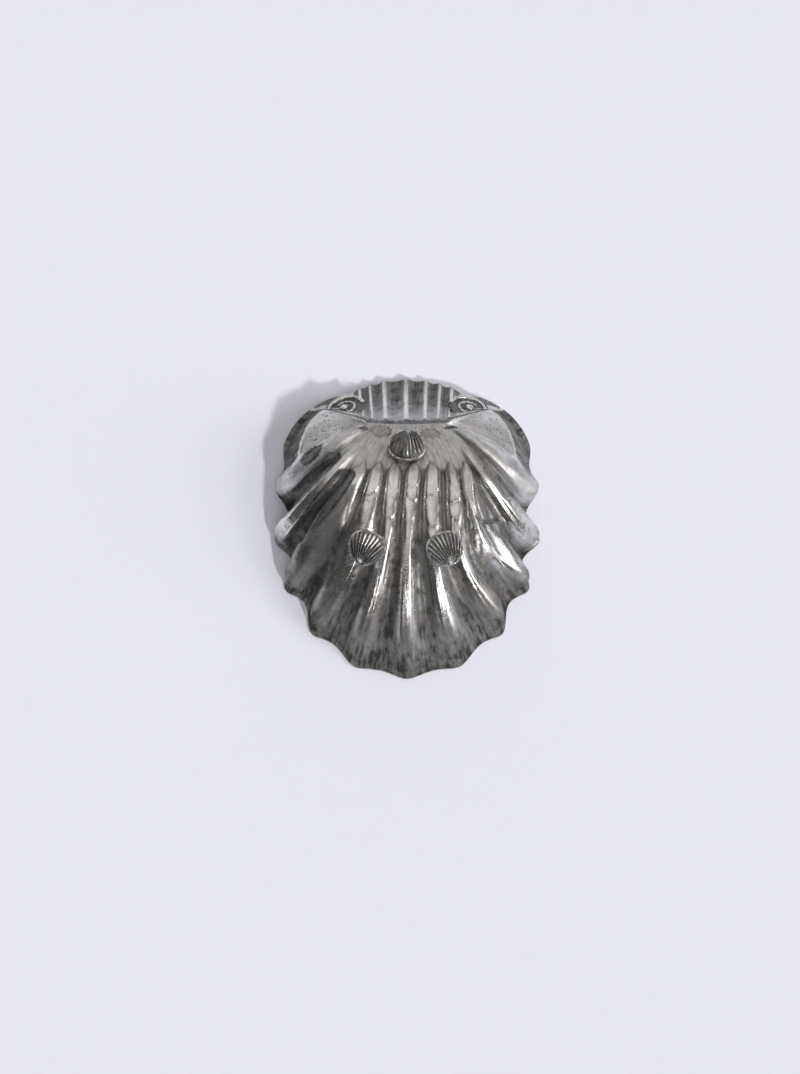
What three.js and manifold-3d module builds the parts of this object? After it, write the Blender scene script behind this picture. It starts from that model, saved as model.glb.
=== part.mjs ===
// Silver shell dish: a ribbed scallop bowl with smooth shoulders, a fluted crest soldered behind
// its neck, a scroll at each end of the crest, and three closed-scallop feet under the bowl.
// Millimetres, +Z up. The dish stands on its feet with the hollow up, the crest at +Y and the
// pouring rim at -Y, and the origin lies on the ground below the middle of its outline.
import * as THREE from "three";
import { mergeVertices } from "three/addons/utils/BufferGeometryUtils.js";
import Module from "manifold-3d";

// Outline of the dish, seen from above
const WIDTH = 150; // across the rim lobes
const FRONT_REACH = 89; // from the middle to the front lobe
const BACK_REACH = 83; // from the middle to the rim line behind the shoulders
const BACK_SQUARENESS = 3.3; // 2 is an ellipse, more is squarer
const CREST_REACH = 89; // from the middle to the top of the crest
const RIBS_PER_SIDE = 5; // ridges on each side of the middle one
const RIB_TURN = 19; // degrees along the rim from one ridge to the next, at the front
const RIB_TURN_GROWTH = 0.5; // degrees added with each ridge towards the sides
const SHOULDER_TURNS = 1.4; // ridge steps taken up by one smooth shoulder
const NOTCH_FRONT = 3; // how far the rim draws in between two ridges, at the front
const NOTCH_SIDE = 8; // the same at the sides
const NOTCH_BACK = 4; // the same behind the last ridge
const NOTCH_BACK_SPAN = 0.55; // share of the shoulder that this last hollow takes up
const LOBE_ROUND = 0.45; // rounding of a lobe of the rim, as a share of its step

// Neck, where the ribs and the shoulders come together
const NECK_Y = 47;
const NECK_HALF_WIDTH = 22;
const NECK_BEND = 1; // how far the neck line runs back at its ends
const SHOULDER_ROOT_X = 26.5; // where the shoulder's edge leaves the neck
const SHOULDER_ROOT_Y = 50.8;

// Depth of the bowl below the rim, on its outside
const NECK_DEPTH = 38;
const BELLY_RISE = 3; // how much deeper the bowl is in front of the neck
const FRONT_FULLNESS = 4.6; // how late the ribbed wall turns up, 1 is a straight cone
const SIDE_FULLNESS = 3.3;
const SHOULDER_FALL = 0.33; // slope of the shoulder beside the last ridge
const MOUTH_FALL = 0.85; // slope of the shoulder beside the crest
const SHOULDER_WALL = 2.2; // slope of the steep wall between a shoulder's crease and the rim
const SHOULDER_CREASE = 2; // rounding of that crease
const SHOULDER_BLEND = 1; // ridge steps over which the ribbed wall turns into the shoulder
const WALL = 1.4;
const LIP_WIDTH = 2.6;
const LIP_ROUND = 2;

// Ridges on the outside of the bowl
const RIB_HEIGHT = 4.2;
const RIB_START = 15; // from the neck to the pointed start of a ridge
const RIB_RAMP = 26; // length over which a ridge grows to its full height
const SIDE_RIB_START = 2; // the last ridge bounds the shoulder and starts at the neck
const RIB_ROUND = 0.12; // rounding of the ridge's top, as a share of its step
const RIB_END = 0.86; // where the middle ridge starts to run out to the rim, as a share of its length
const SIDE_RIB_END = 0.93; // the same at the sides, where a ridge ends in a knob

// Crest behind the neck
const CREST_RIDGES = 3; // on each side of the middle one
const CREST_HALF_TOP = 31;
const CREST_TOP_SAG = 7.6; // how far the top edge falls from its middle to its ends
const CREST_STEP = 1.2; // how far the crest lies inside the neck's edge
const CREST_LIFT = 2; // how far its top edge stays below the rim's level
const CREST_FLARE = 1.3; // 1 is straight, more flares out towards the top
const CREST_RIDGE_BASE = 0.7;
const CREST_RIDGE_TOP = 2.2;
const CREST_WALL = 1.4;
const WING_STEPS = 1.8; // ridge steps taken up by the plain wing that carries a scroll
const WING_REACH = 0.96; // how far the wing runs along the shoulder's edge, as a share of it
const WING_TURN = 2; // degrees along the rim from the wing's outer corner to the shoulder's
const WING_EASE = 0.4; // share of the wing over which its edge meets the rim line

// Scrolls
const SCROLL_WIDTH = 26;
const SCROLL_HEIGHT = 24;
const SCROLL_TURNS = 1.4;
const SCROLL_BAND = 2.7;
const SCROLL_RISE = 2.6;
const SCROLL_PLATE = 1.2;
const SCROLL_EYE = 2.4; // radius of the domed eye
const SCROLL_EYE_GAP = 0.3; // between the eye and the band's inner end
const SCROLL_PLACE = 0.5; // along the wing, in ridge steps from the last flute
const SCROLL_UP = 0.43; // up the wing, as a share of its height
const SCROLL_LEAN = 12; // degrees that its face leans from the wing towards the ground

// Feet: a closed scallop on a plain plinth, square to the bowl where it is fixed
const FOOT_WIDTH = 21;
const FOOT_LENGTH = 19.5;
const FOOT_SHELL = 6.4; // height of the ribbed scallop with its flange
const FOOT_FLANGE = 1.3; // thickness of the smooth flange round it
const FOOT_FLANGE_WIDTH = 1;
const FOOT_TAPER = 0.15; // how much narrower a foot grows towards its umbo, as a share
const FOOT_RIBS = 11;
const FOOT_RIB = 1.1;
const FOOT_RIB_ROUND = 0.32; // rounding of its top, as a share of its step
const FOOT_FLAT = 0.7; // depth worn flat where a foot stands
const FOOT_UMBO = 0.35; // share of its ribs' length over which they rise from the umbo
const FOOT_RIB_FADE = 0.33; // share of the dome's height over which they rise from the flange
const PLINTH_HEIGHT = 3.4; // from the flange to the ridges, at a front foot
const PLINTH_INSET = 0.8;
const FRONT_FOOT_RIB = 1.1; // which ridge a front foot sits on
const FRONT_FOOT_ALONG = 0.59; // how far along that ridge, from the neck
const FRONT_FOOT_TURN = 24; // degrees that its umbo points outwards from the front
const REAR_FOOT_ALONG = 0.11;

const CLEARANCE = 0.3; // between two pieces that meet
const FOOT_SPREAD = 1.5; // half the turn over which a foot's ribs fan out, in radians
const FOOT_SPAN_STEPS = 0.5; // a foot is square to the bowl over this many ridge steps,
const FOOT_SPAN_ALONG = 0.05; // and over this share of the bowl's length, on each side of it
const PLINTH_REACH = 8; // how far a plinth's block runs into the bowl before it is trimmed
const SCROLL_SEAT = 4; // how far a scroll's plate runs into the wing before it is trimmed
const TRIM_FAN = 3.5; // ridges on each side of the middle that the feet are trimmed to
const TRIM_DEPTH = 14;
const TRIM_PAST = 0.02; // ridge steps past a shoulder's edge that a scroll is kept clear of

// Mesh counts
const RIB_FACETS = 6;
const SHOULDER_FACETS = 9;
const BOWL_ROWS = 22;
const FLUTE_FACETS = 6;
const WING_FACETS = 7;
const CREST_ROWS = 9;
const FOOT_RIB_FACETS = 4;
const FOOT_ROWS = 6;
const FLANGE_FACETS = 28;
const SCROLL_STEPS = 34;
const SCROLL_SIDES = 6;
const EYE_FACETS = 14;
const ROW_CROWDING = 1.35; // above 1 the bowl's rows stand closer together at the rim
const NUDGE = 0.002; // step along a surface for its slope, as a share of its length
const FAN_NUDGE = 0.01; // the same across it, in ridge steps

const wasm = await Module();
wasm.setup();

const BELLY_PEAK = 4 / 27; // greatest value of s (1 - s)^2
const FAN_END = RIBS_PER_SIDE + SHOULDER_TURNS;
const CREST_FAN_END = CREST_RIDGES + 0.5;
const CREST_END = CREST_FAN_END + WING_STEPS;
const radians = THREE.MathUtils.degToRad;
const lerp = THREE.MathUtils.lerp;
const clamp = THREE.MathUtils.clamp;
const smoothstep = THREE.MathUtils.smoothstep;

// Cross-section of the ridges: 1 on a ridge, 0 in the round trough half way to the next
function ridgeSection(step, rounding) {
  const across = Math.abs(Math.sin(Math.PI * step));
  const rounded = Math.hypot(across, rounding) - rounding;
  return 1 - rounded / (Math.hypot(1, rounding) - rounding);
}

// Direction of a point of the rim from the middle, turned from the front
function rimDirection(fan) {
  const steps = Math.abs(fan);
  return radians(RIB_TURN * steps + RIB_TURN_GROWTH * steps * steps);
}

// Distance from the middle to the rim line, without its notches
function rimReach(direction) {
  const front = Math.cos(direction) > 0;
  const power = front ? 2 : BACK_SQUARENESS;
  const across = Math.abs(Math.sin(direction)) / (WIDTH / 2);
  const along = Math.abs(Math.cos(direction)) / (front ? FRONT_REACH : BACK_REACH);
  return (across ** power + along ** power) ** (-1 / power);
}

// How far the rim draws in at a place of the fan
function rimNotch(fan) {
  const steps = Math.abs(fan);
  if (steps > RIBS_PER_SIDE) {
    const behind = (steps - RIBS_PER_SIDE) / (SHOULDER_TURNS * NOTCH_BACK_SPAN);
    return NOTCH_BACK * Math.sin(Math.PI * Math.min(behind, 1)) ** 2;
  }
  const deep = lerp(NOTCH_FRONT, NOTCH_SIDE, smoothstep(steps, 0.5, RIBS_PER_SIDE - 1.5));
  return deep * (1 - ridgeSection(steps, LOBE_ROUND));
}

function rimPoint(fan) {
  const direction = rimDirection(fan);
  const reach = rimReach(direction) - rimNotch(fan);
  const side = fan < 0 ? -1 : 1;
  return new THREE.Vector2(side * reach * Math.sin(direction), -reach * Math.cos(direction));
}

// The line that the ridges and the shoulders start from
function neckPoint(fan) {
  const side = fan < 0 ? -1 : 1;
  const steps = Math.abs(fan);
  const share = Math.min(steps, RIBS_PER_SIDE) / RIBS_PER_SIDE;
  const point = new THREE.Vector2(NECK_HALF_WIDTH * share, NECK_Y + NECK_BEND * share * share);
  const past = clamp((steps - RIBS_PER_SIDE) / SHOULDER_TURNS, 0, 1);
  point.lerp(new THREE.Vector2(SHOULDER_ROOT_X, SHOULDER_ROOT_Y), past);
  point.x *= side;
  return point;
}

// Whether two places of the grid are one
function same(a, b) {
  return Math.abs(a - b) < NUDGE / 2;
}

// The lesser of two lengths, rounded where they meet
function softMin(a, b, rounding) {
  return (a + b - Math.hypot(a - b, rounding)) / 2;
}

// Depth of the ribbed part of the bowl below the rim, for a share of the way from neck to lip
function ribbedDepth(fan, share) {
  const side = smoothstep(Math.abs(fan), 0, RIBS_PER_SIDE - 1);
  const belly = (share * (1 - share) ** 2) / BELLY_PEAK;
  return NECK_DEPTH * (1 - share ** lerp(FRONT_FULLNESS, SIDE_FULLNESS, side)) + BELLY_RISE * belly;
}

// Depth of a shoulder: it falls gently to its crease, then steeply to the lip
function shoulderDepth(fan, run, plan) {
  const past = clamp((Math.abs(fan) - RIBS_PER_SIDE) / SHOULDER_TURNS, 0, 1);
  const gentle = NECK_DEPTH - run * lerp(SHOULDER_FALL, MOUTH_FALL, past * past);
  const inset = rimReach(Math.atan2(Math.abs(plan.x), -plan.y)) - plan.length() - LIP_WIDTH;
  return softMin(gentle, Math.max(0, inset) * SHOULDER_WALL, SHOULDER_CREASE);
}

// A point of the smooth bowl's outside, measured from the rim's level, without its ridges
function bowlBase(fan, along) {
  const [from, to] = [neckPoint(fan), rimPoint(fan)];
  const plan = from.clone().lerp(to, along);
  const run = from.distanceTo(to) * along;
  const share = Math.min(1, run / (from.distanceTo(to) - LIP_WIDTH));
  const turn = SHOULDER_BLEND / 2;
  const shoulder = smoothstep(Math.abs(fan), RIBS_PER_SIDE - turn, RIBS_PER_SIDE + turn);
  const depth = lerp(ribbedDepth(fan, share), shoulderDepth(fan, run, plan), shoulder);
  const rounded = (depth + Math.hypot(depth, LIP_ROUND) - LIP_ROUND) / 2;
  return new THREE.Vector3(plan.x, plan.y, -rounded - WALL);
}

// Unit vector out of a surface given by a function of two numbers
function outwards(surface, u, v, du, dv) {
  const across = surface(u + du, v).sub(surface(u - du, v));
  const along = surface(u, v + dv).sub(surface(u, v - dv));
  return across.cross(along).normalize();
}

// Height of a ridge above the troughs beside it
function ribHeight(fan, along) {
  const steps = Math.abs(fan);
  const ridge = Math.min(Math.round(steps), RIBS_PER_SIDE);
  if (steps > ridge + 0.5) return 0;
  const length = neckPoint(ridge).distanceTo(rimPoint(ridge));
  const start = ridge === RIBS_PER_SIDE ? SIDE_RIB_START : RIB_START;
  const grown = smoothstep(along * length, start, start + RIB_RAMP);
  const end = lerp(RIB_END, SIDE_RIB_END, smoothstep(ridge, 0, RIBS_PER_SIDE - 1));
  const ended = 1 - smoothstep(along, end, 1);
  return RIB_HEIGHT * grown * ended * ridgeSection(steps, RIB_ROUND);
}

// Level direction square to an edge that runs from one point to another
function levelAcross(from, to) {
  return new THREE.Vector3(from.y - to.y, to.x - from.x, 0).normalize();
}

// Turns a wall's direction so that the wall ends square at an edge
function squareTo(out, across) {
  return out.addScaledVector(across, -out.dot(across)).normalize();
}

// A point of the bowl at a height above its outside; a negative height goes into the wall
function bowlPoint(fan, along, height) {
  const inside = clamp(along, NUDGE, 1 - NUDGE);
  const fans = clamp(fan, FAN_NUDGE - FAN_END, FAN_END - FAN_NUDGE);
  const out = outwards(bowlBase, fans, inside, FAN_NUDGE, NUDGE);
  if (out.z > 0) out.negate();
  const [before, after] = [neckPoint(fan - FAN_NUDGE), neckPoint(fan + FAN_NUDGE)];
  const [atSide, atNeck] = [same(Math.abs(fan), FAN_END), same(along, 0)];
  if (atSide && atNeck) out.set(0, 0, -1);
  else if (atSide) squareTo(out, levelAcross(neckPoint(fan), rimPoint(fan)));
  else if (atNeck) squareTo(out, levelAcross(before, after));
  return bowlBase(fan, along).addScaledVector(out, ribHeight(fan, along) + height);
}

// The neck's edge behind the bowl, as a point of the bowl, for a place along the crest
function crestBase(step) {
  const steps = Math.abs(step);
  const side = step < 0 ? -1 : 1;
  if (steps <= CREST_FAN_END) {
    const fan = (FAN_END * steps) / CREST_FAN_END;
    return bowlBase(side * fan, 0).add(new THREE.Vector3(0, CLEARANCE, CREST_STEP));
  }
  const past = (steps - CREST_FAN_END) / WING_STEPS;
  const edge = rimPoint(FAN_END).sub(neckPoint(FAN_END)).normalize().multiplyScalar(CLEARANCE);
  const away = new THREE.Vector3(-side * edge.y, edge.x, CREST_STEP * (1 - past));
  return bowlBase(side * FAN_END, WING_REACH * past).add(away);
}

// The outer edge of the crest: an arc over the flutes, then the rim line behind the shoulder
function crestTop(step) {
  const steps = Math.abs(step);
  const side = step < 0 ? -1 : 1;
  const radius = (CREST_HALF_TOP ** 2 + CREST_TOP_SAG ** 2) / (2 * CREST_TOP_SAG);
  const x = (CREST_HALF_TOP * Math.min(steps, CREST_FAN_END)) / CREST_FAN_END;
  const y = CREST_REACH - radius + Math.sqrt(radius * radius - x * x);
  const lift = CREST_LIFT + CREST_WALL;
  if (steps <= CREST_FAN_END) return new THREE.Vector3(side * x, y, -lift);
  const past = (steps - CREST_FAN_END) / WING_STEPS;
  const first = Math.PI - Math.atan2(x, y);
  const direction = lerp(first, rimDirection(FAN_END) + radians(WING_TURN), past);
  const reach = lerp(Math.hypot(x, y), rimReach(direction), smoothstep(past, 0, WING_EASE));
  const plan = new THREE.Vector2(Math.sin(direction), -Math.cos(direction)).multiplyScalar(reach);
  return new THREE.Vector3(side * plan.x, plan.y, -lerp(lift, WALL, past));
}

function crestSurface(step, up) {
  const base = crestBase(step);
  const top = crestTop(step);
  const plan = base.clone().lerp(top, up);
  plan.z = lerp(top.z, base.z, (1 - up) ** CREST_FLARE);
  return plan;
}

// A point of the crest at a height above its outside
function crestPoint(step, up, height) {
  const steps = clamp(step, FAN_NUDGE - CREST_END, CREST_END - FAN_NUDGE);
  const out = outwards(crestSurface, steps, clamp(up, NUDGE, 1 - NUDGE), FAN_NUDGE, NUDGE);
  if (out.z > 0) out.negate();
  const [before, after] = [crestBase(steps - FAN_NUDGE), crestBase(steps + FAN_NUDGE)];
  const [atCorner, atNeck] = [same(Math.abs(step), CREST_FAN_END), same(up, 0)];
  if (atNeck && atCorner) out.set(0, 0, -1);
  else if (atNeck) squareTo(out, levelAcross(before, after));
  const fluted = Math.abs(step) <= CREST_FAN_END ? ridgeSection(step, RIB_ROUND) : 0;
  const ridge = lerp(CREST_RIDGE_BASE, CREST_RIDGE_TOP, up) * fluted;
  return crestSurface(step, up).addScaledVector(out, ridge + height);
}

// A triangle list becomes a merged mesh without its collapsed triangles
function meshOf(positions) {
  const loose = new THREE.BufferGeometry();
  loose.setAttribute("position", new THREE.Float32BufferAttribute(positions, 3));
  const merged = mergeVertices(loose, 1e-4);
  const kept = [];
  const index = merged.index.array;
  for (let i = 0; i < index.length; i += 3) {
    const [a, b, c] = [index[i], index[i + 1], index[i + 2]];
    if (a !== b && b !== c && c !== a) kept.push(a, b, c);
  }
  merged.setIndex(kept);
  return merged;
}

// A closed wall between two skins over the same grid of places
function wallSolid(point, us, vs, outer, inner) {
  const positions = [];
  const quad = (a, b, c, d) => {
    for (const p of [a, b, c, a, c, d]) positions.push(p.x, p.y, p.z);
  };
  const skin = (height) => us.map((u) => vs.map((v) => point(u, v, height)));
  const [out, inn] = [skin(outer), skin(inner)];
  const [lastU, lastV] = [us.length - 1, vs.length - 1];
  for (let i = 0; i < lastU; i++) {
    for (let j = 0; j < lastV; j++) {
      quad(out[i][j], out[i][j + 1], out[i + 1][j + 1], out[i + 1][j]);
      quad(inn[i][j], inn[i + 1][j], inn[i + 1][j + 1], inn[i][j + 1]);
    }
    quad(out[i][0], out[i + 1][0], inn[i + 1][0], inn[i][0]);
    quad(out[i][lastV], inn[i][lastV], inn[i + 1][lastV], out[i + 1][lastV]);
  }
  for (let j = 0; j < lastV; j++) {
    quad(out[0][j], inn[0][j], inn[0][j + 1], out[0][j + 1]);
    quad(out[lastU][j], out[lastU][j + 1], inn[lastU][j + 1], inn[lastU][j]);
  }
  return facingOut(meshOf(positions));
}

// Turns a closed mesh so that its faces point out
function facingOut(geometry) {
  const position = geometry.attributes.position;
  const index = geometry.index.array;
  const [a, b, c] = [new THREE.Vector3(), new THREE.Vector3(), new THREE.Vector3()];
  let volume = 0;
  for (let i = 0; i < index.length; i += 3) {
    a.fromBufferAttribute(position, index[i]);
    b.fromBufferAttribute(position, index[i + 1]);
    c.fromBufferAttribute(position, index[i + 2]);
    volume += a.dot(b.cross(c));
  }
  if (volume < 0) {
    for (let i = 0; i < index.length; i += 3) {
      [index[i + 1], index[i + 2]] = [index[i + 2], index[i + 1]];
    }
  }
  return geometry;
}

function solidOf(geometry) {
  return new wasm.Manifold(
    new wasm.Mesh({
      numProp: 3,
      vertProperties: geometry.attributes.position.array,
      triVerts: new Uint32Array(geometry.index.array),
    }),
  );
}

function geometryOf(solid) {
  const mesh = solid.getMesh();
  const geometry = new THREE.BufferGeometry();
  geometry.setAttribute("position", new THREE.BufferAttribute(mesh.vertProperties, 3));
  geometry.setIndex(new THREE.BufferAttribute(mesh.triVerts, 1));
  return geometry;
}

// Joins or cuts closed meshes
function join(first, ...others) {
  return geometryOf(others.reduce((all, next) => all.add(solidOf(next)), solidOf(first)));
}

function cut(first, ...others) {
  return geometryOf(others.reduce((all, next) => all.subtract(solidOf(next)), solidOf(first)));
}

// Cuts a closed mesh and keeps its largest body: what is left behind a wall falls away
function trimmed(first, ...others) {
  const left = others.reduce((all, next) => all.subtract(solidOf(next)), solidOf(first));
  return geometryOf(left.decompose().reduce((a, b) => (b.volume() > a.volume() ? b : a)));
}

// A geometry of three.js as a bare closed mesh
function bare(geometry) {
  const loose = geometry.index ? geometry.toNonIndexed() : geometry;
  return facingOut(meshOf(loose.attributes.position.array));
}

function evenSteps(from, to, count) {
  return Array.from({ length: count + 1 }, (_, i) => from + ((to - from) * i) / count);
}

// Places across the fan: even over the ridges, and again over each shoulder
function fanPlaces() {
  const ribs = evenSteps(-RIBS_PER_SIDE, RIBS_PER_SIDE, 2 * RIBS_PER_SIDE * RIB_FACETS);
  const shoulder = evenSteps(RIBS_PER_SIDE, FAN_END, SHOULDER_FACETS).slice(1);
  return [...shoulder.map((s) => -s).reverse(), ...ribs, ...shoulder];
}

function crestPlaces() {
  const flutes = evenSteps(-CREST_FAN_END, CREST_FAN_END, 2 * CREST_FAN_END * FLUTE_FACETS);
  const wing = evenSteps(CREST_FAN_END, CREST_END, WING_FACETS).slice(1);
  return [...wing.map((s) => -s).reverse(), ...flutes, ...wing];
}

// Rows from the neck to the rim, closer together at the lip
function bowlRows() {
  return evenSteps(0, 1, BOWL_ROWS).map((s) => 1 - (1 - s) ** ROW_CROWDING);
}

function bowlWall(outer, inner) {
  return wallSolid(bowlPoint, fanPlaces(), bowlRows(), outer, inner);
}

function crestWall(outer, inner) {
  return wallSolid(crestPoint, crestPlaces(), evenSteps(0, 1, CREST_ROWS), outer, inner);
}

// What a piece under the bowl is trimmed with, so that it seats on the ridges with a small gap
function bowlTrim() {
  const places = evenSteps(-TRIM_FAN, TRIM_FAN, 2 * TRIM_FAN * RIB_FACETS);
  const rows = bowlRows().filter((along) => along < RIB_END);
  return wallSolid(bowlPoint, places, rows, CLEARANCE, -TRIM_DEPTH);
}

// The same for a piece on the outside of a wing of the crest, at +X
function wingTrim() {
  const places = crestPlaces().filter((step) => step > 0);
  return wallSolid(crestPoint, places, evenSteps(0, 1, CREST_ROWS), CLEARANCE, -TRIM_DEPTH / 2);
}

// The same for a piece beside a shoulder's edge, at +X
function shoulderTrim() {
  const places = evenSteps(FAN_END - 1, FAN_END + TRIM_PAST, SHOULDER_FACETS);
  return wallSolid(bowlPoint, places, bowlRows(), CLEARANCE, -TRIM_DEPTH / 2);
}

// Distance from the umbo to the outline of a foot's scallop, in a direction from its long axis
function footReach(direction) {
  const across = Math.sin(direction) / (FOOT_WIDTH / 2 - FOOT_FLANGE_WIDTH);
  const along = Math.cos(direction) / (FOOT_LENGTH / 2 - FOOT_FLANGE_WIDTH);
  const half = FOOT_LENGTH / 2 - FOOT_FLANGE_WIDTH;
  return (2 * Math.cos(direction)) / half / (across * across + along * along);
}

// A point of a foot's ribbed dome, with the umbo at -Y and the dome towards +Z
function footPoint(direction, out) {
  const half = FOOT_LENGTH / 2 - FOOT_FLANGE_WIDTH;
  const reach = footReach(direction) * out;
  const x = reach * Math.sin(direction);
  const y = reach * Math.cos(direction) - half;
  const rim = (x / (FOOT_WIDTH / 2 - FOOT_FLANGE_WIDTH)) ** 2 + (y / half) ** 2;
  const dome = Math.sqrt(Math.max(0, 1 - rim));
  const ribs = ridgeSection((direction / FOOT_SPREAD) * (FOOT_RIBS / 2), FOOT_RIB_ROUND);
  const shown = Math.min(1, dome / FOOT_RIB_FADE) * smoothstep(out, 0, FOOT_UMBO);
  const height = FOOT_FLANGE + (FOOT_SHELL - FOOT_FLANGE - FOOT_RIB) * dome;
  return new THREE.Vector3(x, y, height + FOOT_RIB * ribs * shown);
}

// An oval plate with straight walls from one height to another
function ovalPlate(width, length, from, to, facets) {
  const plate = new THREE.CylinderGeometry(1, 1, to - from, facets);
  plate.rotateX(Math.PI / 2);
  plate.scale(width / 2, length / 2, 1);
  plate.translate(0, 0, (from + to) / 2);
  return bare(plate);
}

// Narrows a foot's piece towards its umbo at -Y, and widens it towards +Y
function tapered(geometry) {
  const position = geometry.attributes.position;
  for (let i = 0; i < position.count; i++) {
    const share = position.getY(i) / (FOOT_LENGTH / 2);
    position.setX(i, position.getX(i) * (1 + FOOT_TAPER * share));
  }
  return geometry;
}

// The scallop of a foot, dome up, on the plane of its flange
function footShell() {
  const places = evenSteps(-FOOT_SPREAD, FOOT_SPREAD, FOOT_RIBS * FOOT_RIB_FACETS);
  const rows = evenSteps(0, 1, FOOT_ROWS).map((out) => Math.sin((out * Math.PI) / 2));
  const point = (direction, out, height) => {
    const top = footPoint(direction, out);
    return height > 0 ? top : new THREE.Vector3(top.x, top.y, FOOT_FLANGE / 2);
  };
  const dome = wallSolid(point, places, rows, 1, 0);
  return tapered(join(ovalPlate(FOOT_WIDTH, FOOT_LENGTH, 0, FOOT_FLANGE, FLANGE_FACETS), dome));
}

// Where a foot is fixed: a frame with +Z out of the bowl and the umbo at -Y, turned as asked
function footFrame(fan, along, turn) {
  const out = outwards(bowlBase, fan, along, FOOT_SPAN_STEPS, FOOT_SPAN_ALONG);
  if (out.z > 0) out.negate();
  const umbo = new THREE.Vector3(Math.sin(turn), -Math.cos(turn), 0);
  umbo.addScaledVector(out, -umbo.dot(out)).normalize();
  const side = out.clone().cross(umbo);
  return new THREE.Matrix4().makeBasis(side, umbo.negate(), out).setPosition(bowlPoint(fan, along, 0));
}

// How far below a foot's flange its scallop reaches in a frame, before it is worn flat
function footDrop(frame) {
  const turned = footShell().applyMatrix4(new THREE.Matrix4().extractRotation(frame));
  turned.computeBoundingBox();
  return -turned.boundingBox.min.z;
}

// The level of the rim above the ground, with a foot of a given plinth height in a frame
function rimAbove(frame, plinth) {
  const [out, point] = [new THREE.Vector3(), new THREE.Vector3()];
  out.setFromMatrixColumn(frame, 2);
  point.setFromMatrixPosition(frame);
  return footDrop(frame) - FOOT_FLAT - point.z - plinth * out.z;
}

// The plinth height that brings a foot in a frame to the ground, under a rim at a level
function plinthFor(frame, level) {
  const out = new THREE.Vector3().setFromMatrixColumn(frame, 2);
  return (rimAbove(frame, 0) - level) / out.z;
}

// A foot's scallop, set on its plinth's height and worn flat at the ground
function footScallop(frame, plinth, level) {
  const ground = new THREE.BoxGeometry(WIDTH, WIDTH, FOOT_SHELL);
  ground.translate(0, 0, -FOOT_SHELL / 2);
  const scallop = footShell().translate(0, 0, plinth).applyMatrix4(frame).translate(0, 0, level);
  return cut(scallop, bare(ground));
}

// The plain tier between a foot's scallop and the bowl, trimmed to the ridges that it sits on
function footPlinth(frame, plinth, level, trim) {
  const [width, length] = [FOOT_WIDTH - 2 * PLINTH_INSET, FOOT_LENGTH - 2 * PLINTH_INSET];
  const block = ovalPlate(width, length, -PLINTH_REACH, plinth - CLEARANCE, FLANGE_FACETS);
  return trimmed(tapered(block).applyMatrix4(frame), trim).translate(0, 0, level);
}

// A flat spiral band round a domed eye, on an oval plate, facing +Z
function scroll() {
  const round = SCROLL_HEIGHT / 2;
  const first = round - SCROLL_BAND / 2;
  const last = SCROLL_EYE + SCROLL_EYE_GAP + SCROLL_BAND / 2;
  const points = evenSteps(0, 1, SCROLL_STEPS).map((share) => {
    const angle = Math.PI * 2 * SCROLL_TURNS * share;
    const radius = lerp(first, last, share);
    const [x, y] = [radius * Math.cos(angle), radius * Math.sin(angle)];
    return new THREE.Vector3(x, y, SCROLL_PLATE);
  });
  const section = new THREE.Shape();
  section.absellipse(0, 0, SCROLL_RISE - SCROLL_PLATE, SCROLL_BAND / 2, 0, Math.PI * 2);
  const band = new THREE.ExtrudeGeometry(section, {
    steps: SCROLL_STEPS,
    extrudePath: new THREE.CatmullRomCurve3(points),
    curveSegments: SCROLL_SIDES / 2,
  });
  const eye = new THREE.SphereGeometry(SCROLL_EYE, EYE_FACETS, EYE_FACETS / 2);
  eye.scale(1, 1, (SCROLL_RISE - SCROLL_PLATE) / SCROLL_EYE);
  eye.rotateX(Math.PI / 2);
  eye.translate(0, 0, SCROLL_PLATE);
  const size = 2 * round - SCROLL_BAND / 2;
  const plate = ovalPlate(size, size, -SCROLL_SEAT, SCROLL_PLATE, FLANGE_FACETS);
  return join(plate, bare(band), bare(eye)).scale(SCROLL_WIDTH / SCROLL_HEIGHT, 1, 1);
}

// Puts a scroll on the outside of the wing at +X and trims it to the wing
function scrollOnWing() {
  const step = CREST_FAN_END + SCROLL_PLACE;
  const outside = outwards(crestSurface, step, SCROLL_UP, FAN_NUDGE, NUDGE);
  if (outside.z > 0) outside.negate();
  const along = crestSurface(step + FAN_NUDGE, SCROLL_UP).sub(crestSurface(step, SCROLL_UP));
  along.addScaledVector(outside, -along.dot(outside)).normalize();
  const frame = new THREE.Matrix4().makeBasis(along, outside.clone().cross(along), outside);
  frame.multiply(new THREE.Matrix4().makeRotationX(-radians(SCROLL_LEAN)));
  const geometry = scroll().applyMatrix4(frame);
  const place = crestPoint(step, SCROLL_UP, 0);
  return trimmed(geometry.translate(place.x, place.y, place.z), wingTrim(), shoulderTrim());
}

function mirrored(geometry) {
  return facingOut(geometry.clone().scale(-1, 1, 1));
}

// Colour and polish of each kind of piece
const RAISED_SILVER = { color: 0xa9a7a4, roughness: 0.25, metalness: 1 };
const CAST_SILVER = { color: 0x9c9893, roughness: 0.34, metalness: 1 };

function piece(name, geometry, look) {
  const faceted = geometry.toNonIndexed();
  faceted.computeVertexNormals();
  const mesh = new THREE.Mesh(faceted, new THREE.MeshStandardMaterial(look));
  mesh.name = name;
  return mesh;
}

// A foot of two pieces under the bowl
function foot(name, frame, plinth, level, trim) {
  const group = new THREE.Group();
  group.add(piece(name + "_foot_shell", footScallop(frame, plinth, level), CAST_SILVER));
  group.add(piece(name + "_foot_plinth", footPlinth(frame, plinth, level, trim), CAST_SILVER));
  return group;
}

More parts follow.
